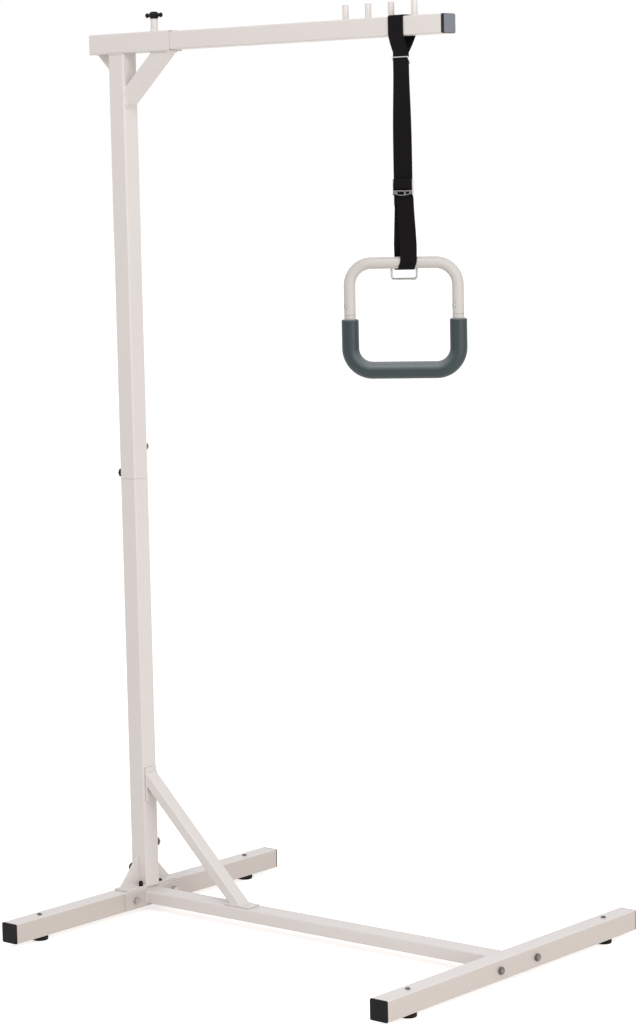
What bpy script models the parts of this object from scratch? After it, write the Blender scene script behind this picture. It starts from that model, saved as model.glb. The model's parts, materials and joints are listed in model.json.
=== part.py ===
"""Freestanding over-bed trapeze: an H-shaped base of square tube, a braced two-part column, a sliding arm
with pegs, and a webbing strap that carries a rounded square handle. Metres, +Z up, floor at Z = 0.
The column's local frames have their X along the arm, and the near side of the stand is -Y."""

import math

import bmesh
import bpy
from mathutils import Matrix, Vector

# Clearances
GAP = 0.0003            # between pieces that rest on each other
HOLE = 0.0003           # radial room of a screw in its hole
SLIP = 0.0003           # room on each side of a square tube inside another

# Square tube of the base and the column
BAR = 0.040
BAR_WALL = 0.0016
CORNER = 0.003

# Base
CROSSBAR_LENGTH = 0.784
BASE_REACH = 0.929      # from the column's axis to the front crossbar's axis
BEAM_WIDTH = 0.048
BEAM_HEIGHT = 0.025
FLANGE_WIDTH = 0.170
FLANGE_HEIGHT = 0.033
FLANGE_THICK = 0.004
FLANGE_BOLT_SPREAD = 0.115
FOOT_HEIGHT = 0.010
FOOT_RADIUS = 0.016
FOOT_INSET = 0.082      # from a crossbar's end to its foot's axis
CAP_LIP = 0.003
CAP_TAIL = 0.020

# Fasteners
M8 = 0.0039
M6 = 0.0029
HEX_M8 = 0.013
HEAD_M8 = 0.0053
HEX_M6 = 0.010
HEAD_M6 = 0.003
HEX_M10 = 0.0165
WASHER_RADIUS = 0.007
WASHER_THICK = 0.0012
CAP_NUT_HEX = 0.0038
CAP_NUT_LENGTH = 0.008
CAP_NUT_BORE = 0.0055
WELD_NUT = 0.0065
FOOT_SCREW_HEAD = 0.005
PLATE_SCREW_HEAD = 0.0045
PLATE_SCREW_TALL = 0.0035
PLATE_SCREW_PROUD = 0.010   # the near front one, which stands higher

# Column
LOWER_COLUMN = 0.845
UPPER_COLUMN = 0.855
INNER_WALL = 0.002
SPIGOT_HEIGHT = 0.130
SPLICE_BELOW = 0.100
SPLICE_ABOVE = 0.120
FOOT_PLATE_REACH = 0.075
FOOT_PLATE_DEPTH = 0.037
FOOT_PLATE_THICK = 0.003
PLATE_SCREW_X = 0.013
PLATE_SCREW_Y = 0.029
GUSSET_HEIGHT = 0.062
GUSSET_THICK = 0.004
GUSSET_X = -0.0047        # of the foot's gussets, a little behind the column's middle
FOOT_KNOB_RISE = 0.0305
FOOT_SET_BOLT_RISE = 0.0835
SPLICE_KNOB_RISE = 0.010
SPLICE_SET_BOLT_RISE = 0.062
KNOB_RADIUS = 0.00975
FOOT_KNOB_LENGTH = 0.0145
SPLICE_KNOB_LENGTH = 0.011
SET_BOLT_SHOW = 0.0065   # bare thread between the weld nut and the bolt's head

# Diagonal brace
BRACE_WIDTH = 0.030
BRACE_DEPTH = 0.022
BRACE_ANGLE = math.radians(44.4)
BRACE_RISE = 0.2438      # its upper edge on the column's face, above the crossbar
BRACE_TAB_TOP = 0.249
BRACE_TAB_LOW = 0.178
BRACE_BOLT_RISE = 0.200
BRACE_TAB_THICK = 0.004
BRACE_PLATE_THICK = 0.003
BRACE_PLATE_START = 0.232
BRACE_PLATE_END = 0.295
BRACE_PLATE_WIDTH = 0.036
BRACE_BOLT_TIP = 0.004   # of the lower bolt, above the foot plate

# Arm sleeve and what props it
SLEEVE_REAR = 0.072
SLEEVE_FRONT = 0.145
KNEE_SIZE = 0.030
KNEE_ANGLE = math.radians(42.0)
KNEE_DROP = 0.065        # its upper edge on the column's face, below the sleeve
REAR_GUSSET_REACH = 0.0445
BOSS_X = 0.0895
BOSS_HEIGHT = 0.025
BOSS_RADIUS = 0.0073
BOSS_FOOT_RADIUS = 0.0105
M10 = 0.0049
WING_KNOB_HEIGHT = 0.0141
WING_KNOB_REACH = 0.021
WING_KNOB_RADIUS = 0.0105
STUD_IN_KNOB = 0.0077

# Arm
ARM = 0.036
ARM_WALL = 0.0015
ARM_REAR = 0.062
ARM_FRONT = 0.8187
ARM_CAP_LIP = 0.005
PEG_RADIUS = 0.006
PEG_HEIGHT = 0.028
PEG_SETBACK = 0.2397     # from the arm's front end to the first peg
PEG_PITCH = 0.0545
PEG_COUNT = 4

# Strap, in heights above the floor
WEB_WIDTH = 0.035
WEB = 0.0022             # one ply
NECK_DROP = 0.034        # from the arm's underside to where the two plies meet
SWING_DROP = 0.057       # from the arm's underside to where the strap bends
STRAP_Y = -0.0046        # the strap hangs a little to the near side of the arm's middle
UPPER_WEB = 0.095
LOWER_WEB = 0.1408       # from the upper web to the adjuster's lower edge
TONGUE_END = 0.0177      # how far the tongue hangs out below the adjuster
TWIST = math.radians(30.0)
TWIST_LENGTH = 0.170     # down from where the strap bends
PEG_CLEARANCE = 0.001    # of the strap's loop from the third peg
KEEPER_WIRE = 0.0011
KEEPER_LENGTH = 0.014
KEEPER_CORNER = 0.002
KEEPER_RISE = 0.0187     # its front bar, above where the strap bends

# Handle, and the strap adjuster measured up from the handle's top bar
HANDLE_TUBE = 0.011
HANDLE_WALL = 0.0018
HANDLE_WIDTH = 0.2045
HANDLE_HEIGHT = 0.2005
HANDLE_BEND = 0.042
HANDLE_SEAM = 0.0962
HANDLE_SPIGOT = 0.022
HANDLE_SCREW = 0.0165    # above the seam
HANDLE_SCREW_SHANK = 0.0019
HANDLE_SCREW_HEAD = 0.0038
HANDLE_SCREW_TURN = math.radians(52.0)    # towards the near side
GRIP_RADIUS = 0.0162
GRIP_START = 0.1045
GRIP_CHAMFER = 0.0015
BUCKLE_LOW = 0.1250
BUCKLE_TALL = 0.0299
BUCKLE_SHEET = 0.0010
BUCKLE_BAR = 0.0045      # the height of the bar the webbing folds over
BUCKLE_BAR_HALF = 0.0010
BUCKLE_BAR_DROP = 0.0023
SIDE_GAP = 0.0004
CHEEK_REACH = 0.0020     # of the cheeks, in front of the cam's pin
TAIL_RISE = 0.0121       # the folded tail's end, above the adjuster's lower edge
CAM_PIN = 0.0010
CAM_PIN_RISE = 0.0078
CAM_HUB = 0.0018
LEVER_SHEET = 0.0011
LEVER_RIB = 0.0015
LOOP_SPREAD = 0.0365     # where the two plies part to go round the handle
WRAP_CUT = 0.008         # how much narrower the wrap is than the webbing
EYE_CUT = 0.0035         # how much shorter the ring's eye is than the webbing
RING_WIRE = 0.0024
RING_WIDTH = 0.0475
RING_HEIGHT = 0.0325
RING_CORNER = 0.005
RING_SHIFT = -0.0034      # along the handle's top bar, from the strap's middle
HANDLE_SHIFT = -0.0028

SHARP = math.radians(35.0)
OVERLAP = 0.0008         # how deep a welded piece reaches into its neighbour

# Places that follow from the sizes
BAR_Z = FOOT_HEIGHT + BAR / 2
BASE_TOP = FOOT_HEIGHT + BAR
BEAM_TOP = BAR_Z + BEAM_HEIGHT / 2
BRACE_PLATE_TOP = BEAM_TOP + GAP + BRACE_PLATE_THICK
BRACE_MIDDLE = BASE_TOP + BRACE_RISE - BRACE_DEPTH / 2 / math.cos(BRACE_ANGLE)
BRACE_LANDING = BAR / 2 + (BRACE_MIDDLE - BRACE_PLATE_TOP) / math.tan(BRACE_ANGLE)
SEAM_Z = BASE_TOP + LOWER_COLUMN
COLUMN_TOP = SEAM_Z + UPPER_COLUMN
ARM_Z = COLUMN_TOP + BAR / 2
SLEEVE_TOP = COLUMN_TOP + BAR
BOSS_TOP = SLEEVE_TOP + BOSS_HEIGHT
INNER = BAR - 2 * BAR_WALL - 2 * SLIP
FRONT_FACE = BASE_REACH + BAR / 2
COLUMN_X = -(FRONT_FACE + GAP + CAP_NUT_LENGTH - SLEEVE_REAR) / 2
PEG_FIRST = ARM_FRONT - PEG_SETBACK
STRAP_X = PEG_FIRST + (PEG_COUNT - 2) * PEG_PITCH + PEG_RADIUS + PEG_CLEARANCE + WEB_WIDTH / 2
ARM_UNDERSIDE = ARM_Z - ARM / 2
SWING_Z = ARM_UNDERSIDE - SWING_DROP
TWIST_Z = SWING_Z - UPPER_WEB
HANDLE_Z = TWIST_Z - LOWER_WEB - BUCKLE_LOW
PLY = WEB + GAP + WEB / 2                    # from the strap's middle to the middle of an outer ply
FOLD = BUCKLE_BAR_HALF + GAP + WEB / 2       # from the bar's middle to the middle of the ply round it
BUCKLE_BAR_V = -(PLY + FOLD)
PIN_V = -(PLY + WEB / 2 + GAP + CAM_HUB)
EYE_BORE = RING_WIRE + GAP
EYE_OUTER = EYE_BORE + WEB
EYE_V = HANDLE_TUBE + GAP + WEB + EYE_OUTER - OVERLAP
EYE_Z = 0.0015


def clear_scene():
    for obj in list(bpy.data.objects):
        bpy.data.objects.remove(obj, do_unlink=True)


def make_look(name, colour, roughness, metallic=0.0):
    look = bpy.data.materials.new(name)
    look.use_nodes = True
    shader = look.node_tree.nodes["Principled BSDF"]
    shader.inputs["Base Color"].default_value = (*colour, 1.0)
    shader.inputs["Roughness"].default_value = roughness
    shader.inputs["Metallic"].default_value = metallic
    return look


def make_frame(name, place, turn=0.0):
    frame = bpy.data.objects.new(name, None)
    frame.location = place
    frame.rotation_euler = (0.0, 0.0, turn)
    bpy.context.scene.collection.objects.link(frame)
    return frame


# Flat shapes, as lists of points

def even_steps(start, end, count):
    return [start + (end - start) * i / count for i in range(count + 1)]


def circle(radius, sides=12):
    step = math.tau / sides
    return [(radius * math.cos(i * step), radius * math.sin(i * step)) for i in range(sides)]


def hexagon(across_flats):
    """Twelve points, so that it lofts to a circle of twelve."""
    corner = across_flats / 2 / math.cos(math.pi / 6)
    radii = [corner, across_flats / 2] * 6
    return [(r * math.cos(i * math.pi / 6), r * math.sin(i * math.pi / 6)) for i, r in enumerate(radii)]


def rounded(width, height, radius, steps=3):
    points = []
    for quarter in range(4):
        sx = 1 if quarter in (0, 3) else -1
        sy = 1 if quarter in (0, 1) else -1
        for i in range(steps + 1):
            angle = (quarter + i / steps) * math.pi / 2
            points.append((sx * (width / 2 - radius) + radius * math.cos(angle),
                           sy * (height / 2 - radius) + radius * math.sin(angle)))
    return points


def rectangle(lo, hi):
    return [(lo[0], lo[1]), (hi[0], lo[1]), (hi[0], hi[1]), (lo[0], hi[1])]


def band(path, thickness):
    """The outline of a strip of even thickness along an open path."""
    sides = ([], [])
    for i, point in enumerate(path):
        before = Vector(path[max(i - 1, 0)])
        after = Vector(path[min(i + 1, len(path) - 1)])
        here = Vector(point)
        first = (here - before).normalized() if i else (after - here).normalized()
        second = (after - here).normalized() if i < len(path) - 1 else first
        along = (first + second).normalized()
        normal = Vector((-along.y, along.x)) / max(along.dot(first), 0.5)
        for side, way in zip(sides, (1, -1)):
            side.append(tuple(here + normal * way * thickness / 2))
    return sides[0] + sides[1][::-1]


# Solids

def ring_at(axis, station, shape, centre=(0.0, 0.0)):
    a, b = centre
    if axis == "X":
        return [Vector((station, a + p, b + q)) for p, q in shape]
    if axis == "Y":
        return [Vector((a + p, station, b + q)) for p, q in shape]
    return [Vector((a + p, b + q, station)) for p, q in shape]


def skin(rings, loop=False):
    """A closed mesh through the rings: with flat ends, or joined back to its first ring."""
    bm = bmesh.new()
    rows = [[bm.verts.new(point) for point in ring] for ring in rings]
    pairs = list(zip(rows, rows[1:]))
    if loop:
        pairs.append((rows[-1], rows[0]))
    else:
        bm.faces.new(rows[0])
        bm.faces.new(rows[-1][::-1])
    for row, following in pairs:
        for i in range(len(row)):
            j = (i + 1) % len(row)
            bm.faces.new((row[i], row[j], following[j], following[i]))
    bmesh.ops.recalc_face_normals(bm, faces=bm.faces)
    return bm


def piece(name, bm, look, frame):
    mesh = bpy.data.meshes.new(name)
    bm.to_mesh(mesh)
    bm.free()
    mesh.shade_smooth()
    mesh.set_sharp_from_angle(angle=SHARP)
    mesh.materials.append(look)
    obj = bpy.data.objects.new(name, mesh)
    obj.parent = frame
    bpy.context.scene.collection.objects.link(obj)
    return obj


def stack(name, axis, centre, sections, look, frame):
    """A solid through flat shapes at stations along an axis."""
    return piece(name, skin([ring_at(axis, at, shape, centre) for shape, at in sections]), look, frame)


def prism(name, axis, outline, lo, hi, look, frame):
    return stack(name, axis, (0.0, 0.0), [(outline, lo), (outline, hi)], look, frame)


def tube(name, axis, centre, lo, hi, outer, inner, look, frame):
    rings = [(outer, lo), (outer, hi), (inner, hi), (inner, lo)]
    bm = skin([ring_at(axis, at, shape, centre) for shape, at in rings], loop=True)
    return piece(name, bm, look, frame)


def square_tube(name, axis, centre, lo, hi, size, wall, look, frame):
    outer = rounded(size, size, CORNER)
    inner = rounded(size - 2 * wall, size - 2 * wall, CORNER - wall)
    return tube(name, axis, centre, lo, hi, outer, inner, look, frame)


def combine(target, tool, operation):
    tool.hide_render = True
    tool.display_type = "WIRE"
    modifier = target.modifiers.new(tool.name, "BOOLEAN")
    modifier.object = tool
    modifier.operation = operation
    modifier.solver = "EXACT"


def weld(target, tool):
    combine(target, tool, "UNION")


def cut(target, tool):
    combine(target, tool, "DIFFERENCE")


def drill(target, axis, centre, lo, hi, radius, look, sides=12):
    name = f"drill_{target.name}_{len(target.modifiers)}"
    cutter = stack(name, axis, centre, [(circle(radius, sides), lo), (circle(radius, sides), hi)], look,
                   target.parent)
    cut(target, cutter)


def weld_nut(target, axis, height, face, way, look):
    """A hexagon nut welded on the face of a tube, and the hole through both."""
    centre = (0.0, height)
    name = f"weld_nut_{target.name}_{axis}"
    sections = [(hexagon(HEX_M8), way * (face - OVERLAP)), (hexagon(HEX_M8), way * (face + WELD_NUT))]
    weld(target, stack(name, axis, centre, sections, look, target.parent))
    drill(target, axis, centre, way * (face - 2 * BAR_WALL), way * (face + WELD_NUT + GAP), M8 + HOLE, look)


def wire_loop(name, width, height, corner, wire, lean, look, frame):
    """A rounded rectangle of wire hanging from its top bar, which lies on the frame's X axis."""
    turn = Matrix.Rotation(lean, 3, "X")
    normal = Vector((0.0, 1.0, 0.0))
    rings = []
    for quarter in range(4):
        sx = 1 if quarter in (0, 3) else -1
        sz = 1 if quarter in (0, 1) else -1
        middle = Vector((sx * (width / 2 - corner), 0.0, sz * (height / 2 - corner) - height / 2))
        for angle in even_steps(quarter * math.pi / 2, (quarter + 1) * math.pi / 2, 3):
            out = Vector((math.cos(angle), 0.0, math.sin(angle)))
            rings.append([turn @ (middle + out * (corner + p) + normal * q) for p, q in circle(wire, 10)])
    return piece(name, skin(rings, loop=True), look, frame)


# Base

def crossbar_cap(name, x, way, look, frame):
    end = CROSSBAR_LENGTH / 2
    tail = BAR - 2 * BAR_WALL - 2 * SLIP
    sections = [
        (rounded(tail - 0.003, tail - 0.003, CORNER - BAR_WALL), way * (end - CAP_TAIL)),
        (rounded(tail, tail, CORNER - BAR_WALL), way * (end + GAP)),
        (rounded(BAR, BAR, CORNER), way * (end + GAP)),
        (rounded(BAR, BAR, CORNER), way * (end + 0.7 * CAP_LIP)),
        (rounded(BAR - 0.002, BAR - 0.002, CORNER), way * (end + CAP_LIP)),
    ]
    stack(name, "Y", (x, BAR_Z), sections, look, frame)


def foot(name, x, y, look, frame):
    top = FOOT_HEIGHT - GAP
    bore = M8 + HOLE
    sections = [
        (circle(bore, 20), 0.3 * FOOT_HEIGHT),
        (circle(bore, 20), top),
        (circle(FOOT_RADIUS - 0.002, 20), top),
        (circle(FOOT_RADIUS, 20), 0.75 * FOOT_HEIGHT),
        (circle(FOOT_RADIUS, 20), 0.15 * FOOT_HEIGHT),
        (circle(FOOT_RADIUS - 0.0015, 20), 0.0),
    ]
    stack(name, "Z", (x, y), sections, look, frame)


def foot_screw(name, x, y, look, frame):
    seat = BASE_TOP + GAP
    head = FOOT_SCREW_HEAD
    sections = [
        (circle(M8), 0.3 * FOOT_HEIGHT + GAP),
        (circle(M8), seat),
        (circle(head), seat),
        (circle(head), seat + 0.0010),
        (circle(0.85 * head), seat + 0.0018),
        (circle(0.5 * head), seat + 0.0024),
    ]
    stack(name, "Z", (x, y), sections, look, frame)


def flange_bolt(name, x, y, way, look, frame):
    """Its head sits on the flange, and its end reaches through the crossbar into the domed nut."""
    seat = BAR / 2 + GAP + FLANGE_THICK + GAP
    end = -(BAR / 2 + GAP + CAP_NUT_BORE - 0.0015)
    sections = [
        (circle(M8), end),
        (circle(M8), seat),
        (circle(WASHER_RADIUS), seat),
        (circle(WASHER_RADIUS), seat + WASHER_THICK),
        (hexagon(HEX_M8), seat + WASHER_THICK),
        (hexagon(HEX_M8), seat + WASHER_THICK + HEAD_M8),
        (circle(0.43 * HEX_M8), seat + WASHER_THICK + HEAD_M8 + 0.0005),
    ]
    sections = [(shape, x + way * at) for shape, at in sections]
    stack(name, "X", (y, BAR_Z), sections, look, frame)


def cap_nut(name, x, y, way, look, frame):
    seat = BAR / 2 + GAP
    bore = circle(M8 + HOLE)
    sections = [
        (bore, CAP_NUT_BORE),
        (bore, 0.0),
        (circle(WASHER_RADIUS), 0.0),
        (circle(WASHER_RADIUS), WASHER_THICK),
        (hexagon(HEX_M8), WASHER_THICK),
        (hexagon(HEX_M8), WASHER_THICK + CAP_NUT_HEX),
        (circle(0.46 * HEX_M8), WASHER_THICK + CAP_NUT_HEX + 0.0005),
        (circle(0.42 * HEX_M8), 0.78 * CAP_NUT_LENGTH),
        (circle(0.27 * HEX_M8), 0.94 * CAP_NUT_LENGTH),
        (circle(0.08 * HEX_M8), CAP_NUT_LENGTH),
    ]
    sections = [(shape, x - way * (seat + at)) for shape, at in sections]
    stack(name, "X", (y, BAR_Z), sections, look, frame)


def build_base(looks, stand):
    cream, black, steel, rubber = looks["cream"], looks["plastic"], looks["steel"], looks["rubber"]
    bars = {}
    for place, x, way in (("rear", 0.0, 1), ("front", BASE_REACH, -1)):
        end = CROSSBAR_LENGTH / 2
        bar = square_tube(f"{place}_crossbar", "Y", (x, BAR_Z), -end, end, BAR, BAR_WALL, cream, stand)
        bars[place] = bar
        for side, hand in (("left", -1), ("right", 1)):
            crossbar_cap(f"crossbar_cap_{place}_{side}", x, hand, black, stand)
            y = hand * (CROSSBAR_LENGTH / 2 - FOOT_INSET)
            foot(f"foot_{place}_{side}", x, y, rubber, stand)
            foot_screw(f"foot_screw_{place}_{side}", x, y, black, stand)
            drill(bar, "Z", (x, y), BAR_Z - BAR, BAR_Z + BAR, M8 + HOLE, cream)
            y = hand * FLANGE_BOLT_SPREAD / 2
            flange_bolt(f"flange_bolt_{place}_{side}", x, y, way, steel, stand)
            cap_nut(f"cap_nut_{place}_{side}", x, y, way, steel, stand)
            drill(bar, "X", (y, BAR_Z), x - BAR, x + BAR, M8 + HOLE, cream)
    for sx in (-1, 1):
        for sy in (-1, 1):
            drill(bars["rear"], "Z", (sx * PLATE_SCREW_X, sy * PLATE_SCREW_Y), BAR_Z, BAR_Z + BAR, M6 + HOLE,
                  cream)

    start, end = BAR / 2 + GAP, BASE_REACH - BAR / 2 - GAP
    outer = rounded(BEAM_WIDTH, BEAM_HEIGHT, CORNER)
    inner = rounded(BEAM_WIDTH - 2 * BAR_WALL, BEAM_HEIGHT - 2 * BAR_WALL, CORNER - BAR_WALL)
    beam = tube("base_beam", "X", (0.0, BAR_Z), start + GAP, end - GAP, outer, inner, cream, stand)
    window = rounded(BEAM_WIDTH - BAR_WALL, BEAM_HEIGHT - BAR_WALL, CORNER)
    plate = rounded(FLANGE_WIDTH, FLANGE_HEIGHT, CORNER)
    for at, way in ((start, 1), (end, -1)):
        face = at + way * FLANGE_THICK
        weld(beam, tube(f"flange_{way}", "X", (0.0, BAR_Z), at, face, plate, window, cream, stand))
        for hand in (-1, 1):
            centre = (hand * FLANGE_BOLT_SPREAD / 2, BAR_Z)
            drill(beam, "X", centre, at - way * GAP, at + way * 2 * FLANGE_THICK, M8 + HOLE, cream)
    drill(beam, "Z", (BRACE_LANDING, 0.0), BAR_Z - BEAM_HEIGHT, BAR_Z + BEAM_HEIGHT, M6 + HOLE, cream)


# Column

def hand_knob(name, height, inside, length, frame_name, look):
    """A knob on a stud that bears on the tube inside, its axis along X."""
    frame = make_frame(frame_name, (COLUMN_X, 0.0, height))
    back = BAR / 2 + WELD_NUT + GAP
    sections = [
        (circle(M8, 16), inside / 2 + GAP),
        (circle(M8, 16), back),
        (circle(0.8 * KNOB_RADIUS, 16), back),
        (circle(KNOB_RADIUS, 16), back + 0.002),
        (circle(KNOB_RADIUS, 16), back + length - 0.003),
        (circle(0.85 * KNOB_RADIUS, 16), back + length - 0.0008),
        (circle(0.6 * KNOB_RADIUS, 16), back + length),
    ]
    stack(name, "X", (0.0, 0.0), [(shape, -at) for shape, at in sections], look, frame)


def set_bolt(name, height, across, look, frame):
    seat = BAR / 2 + WELD_NUT + SET_BOLT_SHOW
    sections = [
        (circle(M8), INNER / 2 + GAP),
        (circle(M8), seat),
        (hexagon(across), seat),
        (hexagon(across), seat + HEAD_M8),
        (circle(0.43 * across), seat + HEAD_M8 + 0.0005),
    ]
    stack(name, "Y", (0.0, height), sections, look, frame)


def foot_weldment(column, cream, stand):
    """The plates and gussets on both sides of the column's foot."""
    low = BASE_TOP + GAP
    top = low + FOOT_PLATE_THICK
    for hand in (-1, 1):
        inner, outer = hand * (BAR / 2 - OVERLAP), hand * FOOT_PLATE_REACH
        plate = rectangle((-FOOT_PLATE_DEPTH / 2, inner), (FOOT_PLATE_DEPTH / 2, outer))
        weld(column, prism(f"foot_plate_{hand}", "Z", plate, low, top, cream, stand))
        toe, peak = hand * (FOOT_PLATE_REACH - 0.001), BASE_TOP + GUSSET_HEIGHT
        gusset = [(inner, top - OVERLAP), (toe, top - OVERLAP), (toe, top + 0.001),
                  (hand * BAR / 2, peak), (inner, peak)]
        sides = (GUSSET_X - GUSSET_THICK / 2, GUSSET_X + GUSSET_THICK / 2)
        weld(column, prism(f"gusset_{hand}", "X", gusset, *sides, cream, stand))
        for sx in (-1, 1):
            centre = (sx * PLATE_SCREW_X, hand * PLATE_SCREW_Y)
            drill(column, "Z", centre, low - GAP, top + GAP, M6 + HOLE, cream)


def plate_screw(name, x, y, tall, look, frame):
    seat = BASE_TOP + GAP + FOOT_PLATE_THICK + GAP
    head = PLATE_SCREW_HEAD
    sections = [
        (circle(M6), BASE_TOP - BAR_WALL - 0.005),
        (circle(M6), seat),
        (circle(head), seat),
        (circle(head), seat + tall - 0.001),
        (circle(0.85 * head), seat + tall),
    ]
    stack(name, "Z", (x, y), sections, look, frame)


def build_column(looks, stand):
    cream, black, steel = looks["cream"], looks["plastic"], looks["steel"]
    axis = (0.0, 0.0)
    low = BASE_TOP + GAP
    square_tube("column_spigot", "Z", axis, low, low + SPIGOT_HEIGHT, INNER, INNER_WALL, cream, stand)
    square_tube("splice_tube", "Z", axis, SEAM_Z - SPLICE_BELOW, SEAM_Z + SPLICE_ABOVE, INNER, INNER_WALL,
                cream, stand)

    lower = square_tube("lower_column", "Z", axis, low, SEAM_Z, BAR, BAR_WALL, cream, stand)
    foot_weldment(lower, cream, stand)
    weld_nut(lower, "X", BASE_TOP + FOOT_KNOB_RISE, BAR / 2, -1, cream)
    weld_nut(lower, "Y", BASE_TOP + FOOT_SET_BOLT_RISE, BAR / 2, 1, cream)
    drill(lower, "X", (0.0, BASE_TOP + BRACE_BOLT_RISE), 0.0, BAR, M6 + HOLE, cream)
    for i, (sx, sy) in enumerate(((-1, -1), (1, -1), (-1, 1), (1, 1))):
        tall = PLATE_SCREW_PROUD if (sx, sy) == (1, -1) else PLATE_SCREW_TALL
        plate_screw(f"foot_plate_screw_{i + 1}", sx * PLATE_SCREW_X, sy * PLATE_SCREW_Y, tall, black, stand)
    hand_knob("foot_knob", BASE_TOP + FOOT_KNOB_RISE, INNER, FOOT_KNOB_LENGTH, "foot_knob_axis", black)
    set_bolt("foot_set_bolt", BASE_TOP + FOOT_SET_BOLT_RISE, HEX_M10, steel, stand)

    upper = square_tube("upper_column", "Z", axis, SEAM_Z + GAP, COLUMN_TOP - GAP, BAR, BAR_WALL, cream,
                        stand)
    weld_nut(upper, "X", SEAM_Z + SPLICE_KNOB_RISE, BAR / 2, -1, cream)
    weld_nut(upper, "Y", SEAM_Z + SPLICE_SET_BOLT_RISE, BAR / 2, 1, cream)
    hand_knob("splice_knob", SEAM_Z + SPLICE_KNOB_RISE, INNER, SPLICE_KNOB_LENGTH, "splice_knob_axis",
              black)
    set_bolt("splice_set_bolt", SEAM_Z + SPLICE_SET_BOLT_RISE, HEX_M8, steel, stand)


# Braces

def strut(width, depth, wall, base, along, start, end):
    """A rectangular tube along a direction in the XZ plane, each end cut flush with a plane, given as
    (axis index, value)."""
    across = Vector((0.0, 1.0, 0.0))
    out = along.cross(across)
    rings = []
    outer = rounded(width, depth, CORNER)
    inner = rounded(width - 2 * wall, depth - 2 * wall, CORNER - wall)
    for shape, (index, value) in ((outer, start), (outer, end), (inner, end), (inner, start)):
        ring = []
        for p, q in shape:
            corner = base + across * p + out * q
            ring.append(corner + along * (value - corner[index]) / along[index])
        rings.append(ring)
    return skin(rings, loop=True)


def brace_bolt(name, axis, centre, seat, end, look, frame):
    """Its head lies on its seat, on the side away from the shank's end."""
    top = seat + math.copysign(HEAD_M6, seat - end)
    sections = [(circle(M6), end), (circle(M6), seat), (hexagon(HEX_M6), seat), (hexagon(HEX_M6), top)]
    stack(name, axis, centre, sections, look, frame)


def build_braces(looks, stand):
    cream, steel = looks["cream"], looks["steel"]
    tab_face = BAR / 2 + GAP + BRACE_TAB_THICK
    plate_low = BEAM_TOP + GAP
    plate_top = BRACE_PLATE_TOP
    down = Vector((math.cos(BRACE_ANGLE), 0.0, -math.sin(BRACE_ANGLE)))
    bm = strut(BRACE_WIDTH, BRACE_DEPTH, BAR_WALL, Vector((BAR / 2, 0.0, BRACE_MIDDLE)), down,
               (0, tab_face - OVERLAP), (2, plate_top - OVERLAP))
    brace = piece("diagonal_brace", bm, cream, stand)
    half = BRACE_WIDTH / 2 + 0.0005
    tab = rectangle((-half, BASE_TOP + BRACE_TAB_LOW), (half, BASE_TOP + BRACE_TAB_TOP))
    weld(brace, prism("brace_tab", "X", tab, BAR / 2 + GAP, tab_face, cream, stand))
    half = BRACE_PLATE_WIDTH / 2
    plate = rectangle((BRACE_PLATE_START, -half), (BRACE_PLATE_END, half))
    weld(brace, prism("brace_plate", "Z", plate, plate_low, plate_top, cream, stand))
    drill(brace, "X", (0.0, BASE_TOP + BRACE_BOLT_RISE), BAR / 2, tab_face + GAP, M6 + HOLE, cream)
    drill(brace, "Z", (BRACE_LANDING, 0.0), plate_low - GAP, plate_top + BRACE_BOLT_TIP, M6 + HOLE, cream)
    brace_bolt("brace_upper_bolt", "X", (0.0, BASE_TOP + BRACE_BOLT_RISE), tab_face + GAP, 0.2 * BAR, steel,
               stand)
    brace_bolt("brace_lower_bolt", "Z", (BRACE_LANDING, 0.0), BAR_Z - BEAM_HEIGHT / 2 - GAP,
               plate_top + BRACE_BOLT_TIP, steel, stand)

    up = Vector((math.cos(KNEE_ANGLE), 0.0, math.sin(KNEE_ANGLE)))
    middle = COLUMN_TOP - KNEE_DROP - KNEE_SIZE / 2 / math.cos(KNEE_ANGLE)
    bm = strut(KNEE_SIZE, KNEE_SIZE, BAR_WALL, Vector((BAR / 2, 0.0, middle)), up, (0, BAR / 2 + GAP),
               (2, COLUMN_TOP - GAP))
    piece("knee_brace", bm, cream, stand)

    near, top = -(BAR / 2 + GAP), COLUMN_TOP - GAP
    gusset = [(near - REAR_GUSSET_REACH, top), (near, top - REAR_GUSSET_REACH), (near, top)]
    prism("rear_gusset", "Y", gusset, -GUSSET_THICK / 2, GUSSET_THICK / 2, cream, stand)


# Arm

def wing(way, middle, look, frame):
    reach = WING_KNOB_REACH
    radii = ((0.0036, 0.35), (0.0033, 0.6), (0.0042, 0.75), (0.0048, 0.87), (0.0040, 0.96), (0.0020, 1.0))
    sections = [(circle(radius), way * share * reach) for radius, share in radii]
    return stack(f"wing_{way}", "X", (0.0, middle), sections, look, frame)


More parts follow.
